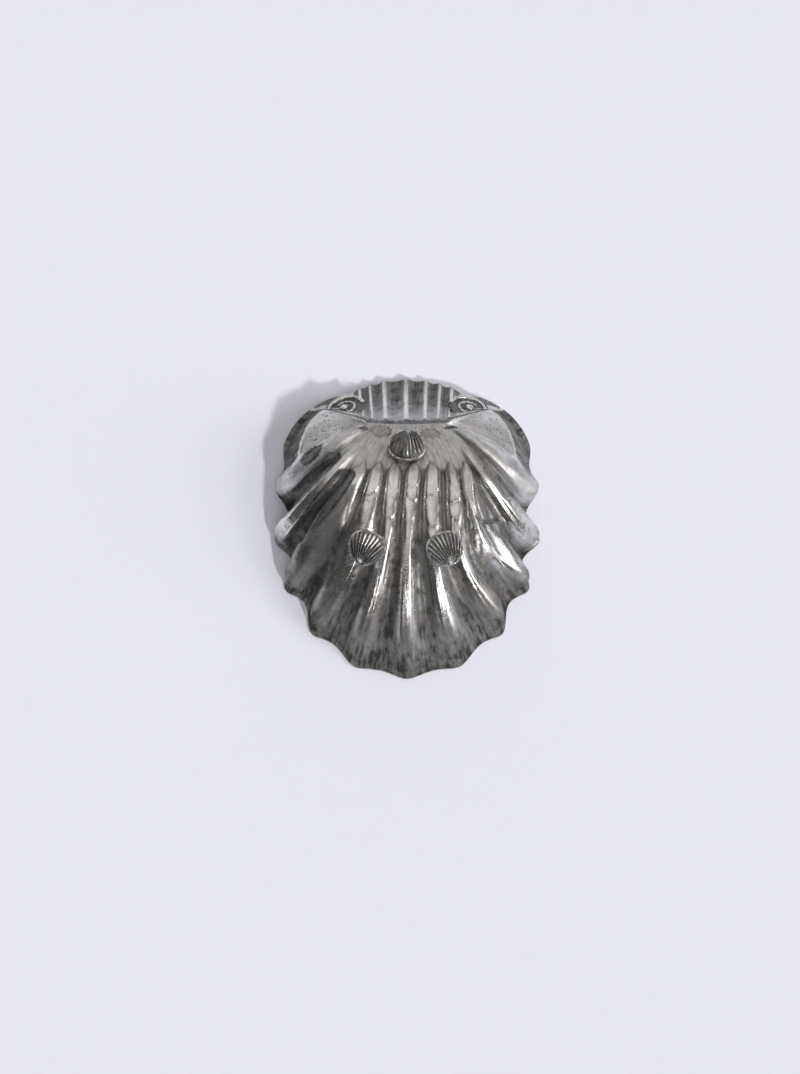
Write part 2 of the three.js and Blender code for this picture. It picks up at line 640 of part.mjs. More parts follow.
function shellDish() {
  const dish = new THREE.Group();
  const body = new THREE.Group();
  const scrollRight = scrollOnWing();
  body.add(piece("shell_bowl", bowlWall(0, -WALL), RAISED_SILVER));
  body.add(piece("back_crest", crestWall(0, -CREST_WALL), RAISED_SILVER));
  body.add(piece("scroll_right", scrollRight, CAST_SILVER));
  body.add(piece("scroll_left", mirrored(scrollRight), CAST_SILVER));
  const turn = radians(FRONT_FOOT_TURN);
  const right = footFrame(FRONT_FOOT_RIB, FRONT_FOOT_ALONG, turn);
  const left = footFrame(-FRONT_FOOT_RIB, FRONT_FOOT_ALONG, -turn);
  const rear = footFrame(0, REAR_FOOT_ALONG, Math.PI);
  const level = rimAbove(right, PLINTH_HEIGHT);
  const trim = bowlTrim();
  body.position.z = level;
  dish.add(body);
  dish.add(foot("front_right", right, PLINTH_HEIGHT, level, trim));
  dish.add(foot("front_left", left, PLINTH_HEIGHT, level, trim));
  dish.add(foot("rear", rear, plinthFor(rear, level), level, trim));
  return centred(dish);
}

// Brings the middle of the outline over the origin
function centred(dish) {
  const box = new THREE.Box3().setFromObject(dish, true);
  dish.position.set(-(box.min.x + box.max.x) / 2, -(box.min.y + box.max.y) / 2, 0);
  return new THREE.Group().add(dish);
}

export default shellDish();
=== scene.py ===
"""Silver shell dish: the dressed model of a ribbed scallop bowl on three small scallop feet.

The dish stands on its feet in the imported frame. The photograph shows it face down, so its camera
looks up from below. The plane that stands for the table lies just above the rim and shows only
from below; the floor under the feet shows only from above.
"""

import logging
import math
from collections.abc import Callable
from dataclasses import dataclass, field
from enum import Enum
from typing import ClassVar

import bmesh
import bpy
import numpy as np
from mathutils import Matrix, Vector


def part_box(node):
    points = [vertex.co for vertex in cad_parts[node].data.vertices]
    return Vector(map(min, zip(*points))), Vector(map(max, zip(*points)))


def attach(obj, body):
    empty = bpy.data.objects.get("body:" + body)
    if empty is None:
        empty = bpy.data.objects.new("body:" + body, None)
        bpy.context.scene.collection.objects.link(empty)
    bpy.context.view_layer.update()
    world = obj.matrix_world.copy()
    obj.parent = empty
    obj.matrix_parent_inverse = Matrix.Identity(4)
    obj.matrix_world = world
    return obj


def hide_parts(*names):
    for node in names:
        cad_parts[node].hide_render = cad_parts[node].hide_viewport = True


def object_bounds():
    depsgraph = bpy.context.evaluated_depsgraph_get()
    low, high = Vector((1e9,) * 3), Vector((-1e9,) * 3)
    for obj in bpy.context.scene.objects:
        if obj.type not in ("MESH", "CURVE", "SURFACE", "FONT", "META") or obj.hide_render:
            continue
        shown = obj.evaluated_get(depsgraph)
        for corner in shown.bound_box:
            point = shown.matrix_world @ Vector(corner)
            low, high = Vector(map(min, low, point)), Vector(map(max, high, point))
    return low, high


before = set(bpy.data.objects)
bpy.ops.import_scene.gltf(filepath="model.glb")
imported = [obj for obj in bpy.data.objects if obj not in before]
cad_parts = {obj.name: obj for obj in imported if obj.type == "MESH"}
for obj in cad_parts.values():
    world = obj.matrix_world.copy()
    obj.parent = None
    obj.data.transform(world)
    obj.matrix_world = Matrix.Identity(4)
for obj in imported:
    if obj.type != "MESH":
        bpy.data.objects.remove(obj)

LOG = logging.getLogger("shell_dish")
MM = 0.001
CAD_BOX = [list(corner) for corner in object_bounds()]
Array = np.ndarray
Piece, Material = bpy.types.Object, bpy.types.Material
Tree, Socket = bpy.types.NodeTree, bpy.types.NodeSocket
Span = tuple[float, float]
Triple = tuple[float, float, float]
DOWN = np.array([0.0, 0.0, -1.0])
TABLE_GAP = 0.3
HIDDEN_OVAL = (62, 74)


# Shaping rules


def smoothstep(value: Array, low: float, high: float) -> Array:
    """Rise smoothly from 0 at one value to 1 at another.

    Args:
        value: Values to map.
        low: Where the rise starts.
        high: Where it ends.

    Returns:
        The mapped values.
    """
    share = np.clip((value - low) / (high - low), 0, 1)
    return share * share * (3 - 2 * share)


def lerp(first: Array, last: Array, share: Array) -> Array:
    """Blend two values by a share."""
    return first + (last - first) * share


def between(value: Array, rise: Span, fall: Span) -> Array:
    """Rise smoothly from 0 to 1 over one span and fall back over another."""
    return smoothstep(value, *rise) * (1 - smoothstep(value, *fall))


def wave(place: Array, pace: float, phase: float = 0) -> Array:
    """Swing between -1 and 1 along a place."""
    return np.sin(place * pace + phase)


def ridge_section(step: Array, rounding: float) -> Array:
    """Cross-section of a row of ridges, 1 on each whole step and 0 half way between.

    Args:
        step: Place across the ridges, in steps.
        rounding: Rounding of a ridge's top, as a share of its step.

    Returns:
        Share of the full height.
    """
    across = np.hypot(np.abs(np.sin(np.pi * step)), rounding) - rounding
    return 1 - across / (math.hypot(1, rounding) - rounding)


def unit(vectors: Array) -> Array:
    """Scale vectors in the last axis to length 1."""
    return vectors / np.maximum(np.linalg.norm(vectors, axis=-1, keepdims=True), 1e-12)


def square_to(out: Array, across: Array) -> Array:
    """Turn directions so that they stand square to others."""
    return unit(out - across * np.sum(out * across, axis=-1, keepdims=True))


def level_across(first: Array, last: Array) -> Array:
    """Level direction square to an edge from one plan point to another."""
    away = np.stack([first[..., 1] - last[..., 1], last[..., 0] - first[..., 0]], -1)
    return unit(np.concatenate([away, np.zeros_like(away[..., :1])], -1))


@dataclass(frozen=True)
class ShellForm:
    """The rule that the dish's outside follows, in millimetres below its rim.

    Its methods take fan, a place across the fan in ridge steps from the middle, and along, the
    share of the way from the neck to the rim.
    """

    width: float = 150
    front_reach: float = 89
    back_reach: float = 83
    back_squareness: float = 3.3
    ribs: int = 5
    rib_turn: float = 19
    rib_turn_growth: float = 0.5
    shoulder_turns: float = 1.4
    notch_front: float = 3
    notch_side: float = 8
    notch_back: float = 4
    notch_back_span: float = 0.55
    lobe_round: float = 0.45
    neck_y: float = 47
    neck_half_width: float = 22
    neck_bend: float = 1
    shoulder_root: Span = (26.5, 50.8)
    neck_depth: float = 38
    belly_rise: float = 3
    front_fullness: float = 4.6
    side_fullness: float = 3.3
    shoulder_fall: float = 0.33
    mouth_fall: float = 0.85
    shoulder_wall: float = 2.2
    shoulder_crease: float = 2
    shoulder_blend: float = 1
    wall: float = 1.4
    lip_width: float = 2.6
    lip_round: float = 2
    rib_height: float = 4.2
    rib_start: float = 15
    rib_ramp: float = 26
    side_rib_start: float = 2
    rib_round: float = 0.12
    rib_end: float = 0.86
    side_rib_end: float = 0.93
    nudge: float = 0.002
    fan_nudge: float = 0.01
    side_blend: float = 0.16
    neck_blend: float = 0.05

    @property
    def fan_end(self) -> float:
        """Place of a shoulder's edge across the fan, in ridge steps."""
        return self.ribs + self.shoulder_turns

    def rim_direction(self, fan: Array) -> Array:
        """Direction of the rim from the middle, turned from the front, in radians."""
        steps = np.abs(fan)
        return np.radians(self.rib_turn * steps + self.rib_turn_growth * steps * steps)

    def rim_reach(self, direction: Array) -> Array:
        """Distance from the middle to the rim line, without its notches."""
        front = np.cos(direction) > 0
        power = np.where(front, 2, self.back_squareness)
        across = np.abs(np.sin(direction)) / (self.width / 2)
        along = np.abs(np.cos(direction)) / np.where(front, self.front_reach, self.back_reach)
        return (across**power + along**power) ** (-1 / power)

    def rim_notch(self, fan: Array) -> Array:
        """How far the rim draws in at a place of the fan."""
        steps = np.abs(fan)
        behind = (steps - self.ribs) / (self.shoulder_turns * self.notch_back_span)
        last = self.notch_back * np.sin(np.pi * np.clip(behind, 0, 1)) ** 2
        deep = lerp(self.notch_front, self.notch_side, smoothstep(steps, 0.5, self.ribs - 1.5))
        lobes = deep * (1 - ridge_section(steps, self.lobe_round))
        return np.where(steps > self.ribs, last, lobes)

    def rim(self, fan: Array) -> Array:
        """Plan points of the rim."""
        direction = self.rim_direction(fan)
        reach = self.rim_reach(direction) - self.rim_notch(fan)
        side = np.where(fan < 0, -1, 1)
        return np.stack([side * reach * np.sin(direction), -reach * np.cos(direction)], -1)

    def neck(self, fan: Array) -> Array:
        """Plan points of the line that the ridges and the shoulders start from."""
        steps = np.abs(fan)
        share = np.minimum(steps, self.ribs) / self.ribs
        past = np.clip((steps - self.ribs) / self.shoulder_turns, 0, 1)
        x = lerp(self.neck_half_width * share, self.shoulder_root[0], past)
        y = lerp(self.neck_y + self.neck_bend * share * share, self.shoulder_root[1], past)
        return np.stack([np.where(fan < 0, -1, 1) * x, y], -1)

    def slopes(self, fan: Array, plan: Array, run: Array) -> tuple[Array, Array]:
        """Depths of a shoulder's gentle top and of its steep wall, continued past the crease.

        Args:
            fan: Places across the fan.
            plan: Plan points.
            run: Distances from the neck.

        Returns:
            Depths of the top, and of the wall.
        """
        past = np.clip((np.abs(fan) - self.ribs) / self.shoulder_turns, 0, 1)
        gentle = self.neck_depth - run * lerp(self.shoulder_fall, self.mouth_fall, past * past)
        direction = np.arctan2(np.abs(plan[..., 0]), -plan[..., 1])
        inset = self.rim_reach(direction) - np.linalg.norm(plan, axis=-1) - self.lip_width
        return gentle, np.maximum(0, inset) * self.shoulder_wall

    def base(self, fan: Array, along: Array) -> Array:
        """Points of the smooth outside, measured from the rim's level, without its ridges.

        Args:
            fan: Place across the fan, in ridge steps from the middle.
            along: Share of the way from the neck to the rim.

        Returns:
            Points, in millimetres.
        """
        start, end = self.neck(fan), self.rim(fan)
        plan = lerp(start, end, along[..., None])
        length = np.linalg.norm(end - start, axis=-1)
        run = length * along
        share = np.minimum(1, run / (length - self.lip_width))
        side = smoothstep(np.abs(fan), 0, self.ribs - 1)
        peak = 4 / 27
        belly = share * (1 - share) ** 2 / peak
        fullness = lerp(self.front_fullness, self.side_fullness, side)
        ribbed = self.neck_depth * (1 - share**fullness) + self.belly_rise * belly
        gentle, steep = self.slopes(fan, plan, run)
        shoulder = (gentle + steep - np.hypot(gentle - steep, self.shoulder_crease)) / 2
        turn = self.shoulder_blend / 2
        share = smoothstep(np.abs(fan), self.ribs - turn, self.ribs + turn)
        depth = lerp(ribbed, shoulder, share)
        rounded = (depth + np.hypot(depth, self.lip_round) - self.lip_round) / 2
        return np.concatenate([plan, (-rounded - self.wall)[..., None]], -1)

    def rib_gain(self, step: Array, along: Array) -> Array:
        """Share of its full height that a ridge has at a place of the bowl."""
        steps = np.abs(step)
        ridge = np.minimum(np.round(steps), self.ribs)
        length = np.linalg.norm(self.neck(ridge) - self.rim(ridge), axis=-1)
        start = np.where(ridge == self.ribs, self.side_rib_start, self.rib_start)
        grown = smoothstep(along * length - start, 0, self.rib_ramp)
        end = lerp(self.rib_end, self.side_rib_end, smoothstep(ridge, 0, self.ribs - 1))
        ended = 1 - smoothstep((along - end) / (1 - end), 0, 1)
        return np.where(steps > ridge + 0.5, 0, grown * ended)

    def out(self, fan: Array, along: Array) -> Array:
        """Directions out of the smooth outside, square to the edges at the neck and sides."""
        fans = np.clip(fan, self.fan_nudge - self.fan_end, self.fan_end - self.fan_nudge)
        inside = np.clip(along, self.nudge, 1 - self.nudge)
        out = outwards(self.base, fans, inside, self.fan_nudge, self.nudge)
        side_edge = level_across(self.neck(fan), self.rim(fan))
        neck_edge = level_across(self.neck(fan - self.fan_nudge), self.neck(fan + self.fan_nudge))
        at_side = smoothstep(np.abs(fan), self.fan_end - self.side_blend, self.fan_end)[..., None]
        at_neck = (1 - smoothstep(along, 0, self.neck_blend))[..., None]
        out = unit(lerp(out, square_to(out, side_edge), at_side))
        out = unit(lerp(out, square_to(out, neck_edge), at_neck))
        return unit(lerp(out, DOWN, at_side * at_neck))


@dataclass(frozen=True)
class CrestForm:
    """The rule that the crest behind the neck follows, in millimetres below the rim.

    Its methods take step, a place across it in ridge steps from the middle, and up, the share
    of its height.
    """

    shell: ShellForm = ShellForm()
    ridges: int = 3
    reach: float = 89
    half_top: float = 31
    top_sag: float = 7.6
    step: float = 1.2
    lift: float = 2
    flare: float = 1.3
    ridge_base: float = 0.7
    ridge_top: float = 2.2
    wall: float = 1.4
    wing_steps: float = 1.8
    wing_reach: float = 0.96
    wing_turn: float = 2
    wing_ease: float = 0.4
    clearance: float = 0.3
    step_nudge: float = 0.01
    up_nudge: float = 0.002
    foot_blend: float = 0.11
    corner_blend: float = 0.16

    @property
    def flute_end(self) -> float:
        """Where the flutes end and a wing starts, in ridge steps."""
        return self.ridges + 0.5

    @property
    def end(self) -> float:
        """Where a wing ends, in ridge steps."""
        return self.flute_end + self.wing_steps

    def foot_line(self, step: Array) -> Array:
        """Points of the crest's lower edge, along the neck and then the shoulder."""
        shell = self.shell
        side = np.where(step < 0, -1.0, 1.0)
        steps = np.abs(step)
        fan = shell.fan_end * np.minimum(steps, self.flute_end) / self.flute_end
        flute = shell.base(side * fan, np.zeros_like(fan))
        flute = flute + np.array([0, self.clearance, self.step])
        past = np.clip((steps - self.flute_end) / self.wing_steps, 0, 1)
        last = np.full_like(steps, shell.fan_end)
        edge = unit(shell.rim(last) - shell.neck(last)) * self.clearance
        wing = shell.base(side * last, self.wing_reach * past)
        away = np.stack([-side * edge[..., 1], edge[..., 0], self.step * (1 - past)], -1)
        return np.where((steps <= self.flute_end)[..., None], flute, wing + away)

    def top_line(self, step: Array) -> Array:
        """Points of the crest's outer edge: an arc, then the rim line behind the shoulder."""
        shell = self.shell
        side = np.where(step < 0, -1.0, 1.0)
        steps = np.abs(step)
        radius = (self.half_top**2 + self.top_sag**2) / (2 * self.top_sag)
        x = self.half_top * np.minimum(steps, self.flute_end) / self.flute_end
        y = self.reach - radius + np.sqrt(radius * radius - x * x)
        lift = np.full_like(x, self.lift + self.wall)
        flute = np.stack([side * x, y, -lift], -1)
        past = np.clip((steps - self.flute_end) / self.wing_steps, 0, 1)
        last = shell.rim_direction(np.full_like(steps, shell.fan_end))
        direction = lerp(np.pi - np.arctan2(x, y), last + math.radians(self.wing_turn), past)
        eased = smoothstep(past, 0, self.wing_ease)
        reach = lerp(np.hypot(x, y), shell.rim_reach(direction), eased)
        across, along = side * reach * np.sin(direction), -reach * np.cos(direction)
        wing = np.stack([across, along, -lerp(lift, shell.wall, past)], -1)
        return np.where((steps <= self.flute_end)[..., None], flute, wing)

    def base(self, step: Array, up: Array) -> Array:
        """Points of the crest's outside without its ridges, for a share of its height."""
        low, top = self.foot_line(step), self.top_line(step)
        points = lerp(low, top, up[..., None])
        points[..., 2] = lerp(top[..., 2], low[..., 2], (1 - up) ** self.flare)
        return points

    def rib_gain(self, step: Array, up: Array) -> Array:
        """Height of a ridge at a place of the crest, as a share of its height at the top."""
        grown = lerp(self.ridge_base, self.ridge_top, up) / self.ridge_top
        return np.where(np.abs(step) <= self.flute_end, grown, 0)

    def out(self, step: Array, up: Array) -> Array:
        """Directions out of the crest's outside, square to its lower edge there."""
        steps = np.clip(step, self.step_nudge - self.end, self.end - self.step_nudge)
        inside = np.clip(up, self.up_nudge, 1 - self.up_nudge)
        out = outwards(self.base, steps, inside, self.step_nudge, self.up_nudge)
        ends = (steps - self.step_nudge, steps + self.step_nudge)
        edge = level_across(*(self.foot_line(end) for end in ends))
        at_foot = (1 - smoothstep(up, 0, self.foot_blend))[..., None]
        past = np.abs(np.abs(step) - self.flute_end)
        at_corner = (1 - smoothstep(past, 0, self.corner_blend))[..., None]
        out = unit(lerp(out, square_to(out, edge), at_foot))
        return unit(lerp(out, DOWN, at_foot * at_corner))


def outwards(surface: Callable, u: Array, v: Array, du: float, dv: float) -> Array:
    """Unit directions out of a surface, downwards.

    Args:
        surface: Function of two numbers that gives points.
        u: Places across.
        v: Places along.
        du: Step across for the slope.
        dv: Step along for the slope.

    Returns:
        Directions.
    """
    across = surface(u + du, v) - surface(u - du, v)
    along = surface(u, v + dv) - surface(u, v - dv)
    out = unit(np.cross(across, along))
    return np.where(out[..., 2:] > 0, -out, out)


@dataclass(frozen=True)
class FootForm:
    """The rule that a foot's scallop follows, in millimetres: dome up, with its umbo at -Y."""

    width: float = 21
    length: float = 19.5
    shell: float = 6.4
    flange: float = 1.3
    flange_width: float = 1
    taper: float = 0.15
    ribs: int = 11
    hinge: float = 5
    rib_angle: float = 0.6
    rib: float = 1.5
    rib_round: float = 0.3
    worn: float = 0.7
    umbo: float = 0.35
    rib_fade: float = 0.33
    spread: float = 1.5
    inset: float = 0.8
    reach: float = 8

    def dome(self, direction: Array, out: Array) -> tuple[Array, Array]:
        """Points of the dome without its ribs, and the share of its height that a rib has there.

        Args:
            direction: Directions from the umbo, from the foot's long axis, in radians.
            out: Shares of the way to the outline.

        Returns:
            Points, and shares.
        """
        half_x, half_y = self.width / 2 - self.flange_width, self.length / 2 - self.flange_width
        across, along = np.sin(direction) / half_x, np.cos(direction) / half_y
        reach = 2 * np.cos(direction) / half_y / (across**2 + along**2) * out
        x, y = reach * np.sin(direction), reach * np.cos(direction) - half_y
        dome = np.sqrt(np.maximum(0, 1 - (x / half_x) ** 2 - (y / half_y) ** 2))
        shown = np.minimum(1, dome / self.rib_fade) * smoothstep(out, 0, self.umbo)
        height = self.flange + (self.shell - self.flange - self.rib) * dome
        return np.stack([x * self.narrowed(y), y, height], -1), shown

    def narrowed(self, y: Array) -> Array:
        """Share of its full width that a foot has at a place along it."""
        return 1 + self.taper * y / (self.length / 2)

    def oval(self, shrink: float, height: float, count: int = 96) -> Array:
        """A ring of points round a foot's outline.

        Args:
            shrink: How far the ring lies inside the outline.
            height: Height of the ring.
            count: Number of points.

        Returns:
            Points.
        """
        turn = np.linspace(0, 2 * np.pi, count, endpoint=False)
        y = (self.length / 2 - shrink) * np.sin(turn)
        x = (self.width / 2 - shrink) * np.cos(turn) * self.narrowed(y)
        return np.stack([x, y, np.full_like(x, height)], -1)


SHELL = ShellForm()
CREST = CrestForm(shell=SHELL)
FOOT = FootForm()


# Meshes


@dataclass
class Skin:
    """One side of a sheet of metal: a grid of points with its values."""

    points: Array
    out: Array
    values: dict[str, Array] = field(default_factory=dict)

    @property
    def shape(self) -> tuple[int, int]:
        """Number of points across and along."""
        return self.points.shape[0], self.points.shape[1]

    def thinned(self) -> "Skin":
        """Keep every second point both ways."""
        values = {name: value[::2, ::2] for name, value in self.values.items()}
        return Skin(self.points[::2, ::2], self.out[::2, ::2], values)


class MeshMaker:
    """Turns arrays into meshes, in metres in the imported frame."""

    weld: float = 2e-6
    sliver: float = 1e-7

    def __init__(self) -> None:
        """Take the rim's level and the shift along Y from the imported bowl."""
        low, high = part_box("shell_bowl")
        self.place = np.array([0.0, low[1] / MM + SHELL.front_reach, high[2] / MM])

    def mesh(self, name: str, points: Array, faces: list[Array],
             values: dict[str, Array] | None = None, smooth_angle: float = 40) -> Piece:
        """Make an object of points in the form's frame.

        Args:
            name: Object name.
            points: Points in millimetres, from the rim's level.
            faces: Arrays of faces, each with three or four corners.
            values: Values at the points, by attribute name.
            smooth_angle: Angle above which an edge stays sharp, in degrees.

        Returns:
            The object, linked to the scene.
        """
        mesh = bpy.data.meshes.new(name)
        loops = [face for group in faces for face in group.tolist()]
        mesh.from_pydata((points * MM).tolist(), [], loops)
        for key, value in (values or {}).items():
            kind = "FLOAT_VECTOR" if value.ndim == 2 else "FLOAT"
            data = mesh.attributes.new(key, kind, "POINT")
            numbers = np.ascontiguousarray(value, np.float32).ravel()
            data.data.foreach_set("vector" if value.ndim == 2 else "value", numbers)
        work = bmesh.new()
        work.from_mesh(mesh)
        bmesh.ops.remove_doubles(work, verts=work.verts, dist=self.weld)
        bmesh.ops.dissolve_degenerate(work, edges=work.edges, dist=self.sliver)
        bmesh.ops.recalc_face_normals(work, faces=work.faces)
        work.to_mesh(mesh)
        work.free()
        mesh.update()
        mesh.shade_smooth()
        mesh.set_sharp_from_angle(angle=math.radians(smooth_angle))
        piece = bpy.data.objects.new(name, mesh)
        bpy.context.scene.collection.objects.link(piece)
        return piece

    def sheet(self, name: str, outer: Skin, inner: Skin, placed: bool = True,
              **options: object) -> Piece:
        """Close the wall between a fine skin and one with every second point of it.

        Args:
            name: Object name.
            outer: The outside.
            inner: The inside, on half of its places both ways.
            placed: Whether the points are measured from the rim's level.
            **options: More options of mesh.

        Returns:
            The object.
        """
        (nu, nv), (mu, mv) = outer.shape, inner.shape
        out = np.arange(nu * nv).reshape(nu, nv)
        inn = np.arange(mu * mv).reshape(mu, mv) + nu * nv
        faces = [
            quads(out),
            quads(inn)[:, ::-1],
            seam(out[:, 0], inn[:, 0]),
            seam(out[:, -1], inn[:, -1])[:, ::-1],
            seam(out[0, :], inn[0, :])[:, ::-1],
            seam(out[-1, :], inn[-1, :]),
        ]
        points = np.concatenate([outer.points.reshape(-1, 3), inner.points.reshape(-1, 3)])
        values = {}
        for key, value in outer.values.items():
            both = [flat(value, nu * nv), flat(inner.values[key], mu * mv)]
            values[key] = np.concatenate(both)
        values["outward"] = np.concatenate([outer.out.reshape(-1, 3), inner.out.reshape(-1, 3)])
        points = points + self.place if placed else points
        return self.mesh(name, points, faces, values, **options)

    def block(self, name: str, base: Array, out: Array, ridge: Array, low: float,
              high: float) -> Piece:
        """Close the space between two heights over a ridged surface.

        Args:
            name: Object name.
            base: Points of the surface without its ridges.
            out: Directions out of it.
            ridge: Heights of its ridges, in millimetres.
            low: Height of the block's inside over the ridges.
            high: Height of its outside.

        Returns:
            The object.
        """
        top = Skin(base + out * (ridge + high)[..., None], out)
        under = Skin(base + out * (ridge + low)[..., None], out).thinned()
        return self.sheet(name, top, under)

    def lathe(self, name: str, rings: Array, **options: object) -> Piece:
        """Close a stack of rings with a pole at each end.

        Args:
            name: Object name.
            rings: Points, by ring and place round it.
            **options: More options of mesh.

        Returns:
            The object.
        """
        count, around = rings.shape[:2]
        index = np.arange(count * around).reshape(count, around)
        index = np.concatenate([index, index[:, :1]], 1)
        faces = [quads(index)]
        for pole, row in enumerate((index[0], index[-1]), count * around):
            faces.append(np.stack([row[:-1], row[1:], np.full(around, pole)], -1))
        poles = [rings[0].mean(0), rings[-1].mean(0)]
        points = np.concatenate([rings.reshape(-1, 3), np.array(poles)])
        return self.mesh(name, points, faces, **options)


def flat(value: Array, count: int) -> Array:
    """Flatten a grid of numbers or vectors to one row for each point."""
    return value.reshape(count, 3) if value.size == 3 * count else value.reshape(count)


def softened(value: Array, rounds: tuple[int, int]) -> Array:
    """Average a grid of values with their neighbours, so many times across and along.

    Args:
        value: Grid of values.
        rounds: How many times across, and how many along.

    Returns:
        The averaged grid.
    """
    for axis, count in enumerate(rounds):
        for _ in range(count):
            wide = np.pad(value, [(int(axis == 0),) * 2, (int(axis == 1),) * 2], mode="edge")
            first, last = (wide[:-2], wide[2:]) if axis == 0 else (wide[:, :-2], wide[:, 2:])
            value = 0.5 * value + 0.25 * (first + last)
    return value


def quads(index: Array) -> Array:
    """Faces of a grid of point numbers."""
    a, b, c, d = index[:-1, :-1], index[1:, :-1], index[1:, 1:], index[:-1, 1:]
    return np.stack([a, b, c, d], -1).reshape(-1, 4)


def seam(fine: Array, coarse: Array) -> Array:
    """Faces between a row of points and one with half as many steps.

    Args:
        fine: Numbers of the fine row.
        coarse: Numbers of the coarse row.

    Returns:
        Faces, by their point numbers.
    """
    a, b, c = fine[:-2:2], fine[1:-1:2], fine[2::2]
    d, e = coarse[:-1], coarse[1:]
    parts = [np.stack(t, -1) for t in ((a, d, b), (b, d, e), (b, e, c))]
    return np.concatenate(parts)


def boolean(piece: Piece, tool: Piece, operation: str) -> None:
    """Join a tool to a piece, or cut the piece with it, and delete the tool.

    Args:
        piece: Piece that is changed.
        tool: Closed solid.
        operation: UNION or DIFFERENCE.
    """
    step = piece.modifiers.new("trim", "BOOLEAN")
    step.operation, step.object, step.solver = operation, tool, "EXACT"
    bake(piece)
    bpy.data.objects.remove(tool)


def bake(piece: Piece) -> None:
    """Turn what an object's modifiers give into its plain mesh.

    Args:
        piece: Object that is changed.
    """
    bpy.context.view_layer.update()
    graph = bpy.context.evaluated_depsgraph_get()
    mesh = bpy.data.meshes.new_from_object(piece.evaluated_get(graph), depsgraph=graph)
    old = piece.data
    piece.modifiers.clear()
    piece.data = mesh
    bpy.data.meshes.remove(old)
    mesh.name = piece.name


def keep_within(piece: Piece, low: Array, high: Array) -> None:
    """Press what stands out of a box back onto it.

    Args:
        piece: Object that is changed.
        low: Low corner of the box, in metres.
        high: High corner of the box.
    """
    kept = np.clip(corners(piece), low, high)
    piece.data.vertices.foreach_set("co", kept.astype(np.float32).ravel())
    piece.data.update()


def corners(piece: Piece) -> Array:
    """Points of an object's mesh."""
    points = np.empty(len(piece.data.vertices) * 3, np.float32)
    piece.data.vertices.foreach_get("co", points)
    return points.reshape(-1, 3)


def keep_lowest(piece: Piece) -> None:
    """Delete every loose part of a mesh but the one that reaches lowest.

    Args:
        piece: Object that is changed.
    """
    work = bmesh.new()
    work.from_mesh(piece.data)
    seen: set[bmesh.types.BMVert] = set()
    islands: list[list[bmesh.types.BMVert]] = []
    for vert in work.verts:
        if vert in seen:
            continue
        island, queue = [], [vert]
        seen.add(vert)
        while queue:
            here = queue.pop()
            island.append(here)
            for edge in here.link_edges:
                other = edge.other_vert(here)
                if other not in seen:
                    seen.add(other)
                    queue.append(other)
        islands.append(island)
    islands.sort(key=lambda part: min(v.co.z for v in part))
    bmesh.ops.delete(work, geom=[v for part in islands[1:] for v in part], context="VERTS")
    work.to_mesh(piece.data)
    work.free()


def mend(piece: Piece, weld: float = 2e-5, sliver: float = 1e-6,
         speck: float = 1e-10) -> None:
    """Close the pinholes that trimming leaves in a small piece.

    Args:
        piece: Object that is changed.
        weld: Distance that joins points, in metres.
        sliver: Length under which an edge goes, in metres.
        speck: Area under which a stray face goes, in square metres.
    """
    work = bmesh.new()
    work.from_mesh(piece.data)
    bmesh.ops.remove_doubles(work, verts=work.verts, dist=weld)
    bmesh.ops.dissolve_degenerate(work, edges=work.edges, dist=sliver)
    thick = [edge for edge in work.edges if len(edge.link_faces) > 2]
    stray = {face for edge in thick for face in edge.link_faces if face.calc_area() < speck}
    bmesh.ops.delete(work, geom=list(stray), context="FACES")
    bmesh.ops.holes_fill(work, edges=[edge for edge in work.edges if edge.is_boundary])
    bmesh.ops.recalc_face_normals(work, faces=work.faces)
    work.to_mesh(piece.data)
    work.free()


def placed_by(piece: Piece, stand: Matrix, angle: float = 35) -> None:
    """Move a mesh to a frame and mark its sharp edges anew.

    Args:
        piece: Object whose mesh is moved.
        stand: Frame that it goes to.
        angle: Angle above which an edge stays sharp, in degrees.
    """
    piece.data.transform(stand)
    piece.data.shade_smooth()
    piece.data.set_sharp_from_angle(angle=math.radians(angle))


def basis(x: Array, y: Array, z: Array, place: Array) -> Matrix:
    """Frame with the given axes at a place in millimetres."""
    turn = Matrix([list(map(float, row)) for row in np.stack([x, y, z], -1)]).to_4x4()
    return Matrix.Translation(Vector([float(v) * MM for v in place])) @ turn


# Node trees


def arithmetic(operation: str) -> tuple[Callable, Callable]:
    """Make the methods that add a Math node, with the signal first and with it last."""

    def first(self: "Signal", other: "Signal | float") -> "Signal":
        """Put the signal first."""
        return self.graph.math(operation, self, other)

    def last(self: "Signal", other: float) -> "Signal":
        """Put the signal last."""
        return self.graph.math(operation, other, self)

    return first, last


class Signal:
    """An output of a node that can be reckoned with; each operation adds a Math node."""

    __add__, __radd__ = arithmetic("ADD")
    __sub__, __rsub__ = arithmetic("SUBTRACT")
    __mul__, __rmul__ = arithmetic("MULTIPLY")
    __truediv__, __rtruediv__ = arithmetic("DIVIDE")

    def __init__(self, graph: "Graph", socket: Socket) -> None:
        """Keep the graph and the output."""
        self.graph, self.socket = graph, socket

    def clamped(self) -> "Signal":
        """Keep the last operation's result between 0 and 1."""
        self.socket.node.use_clamp = True
        return self


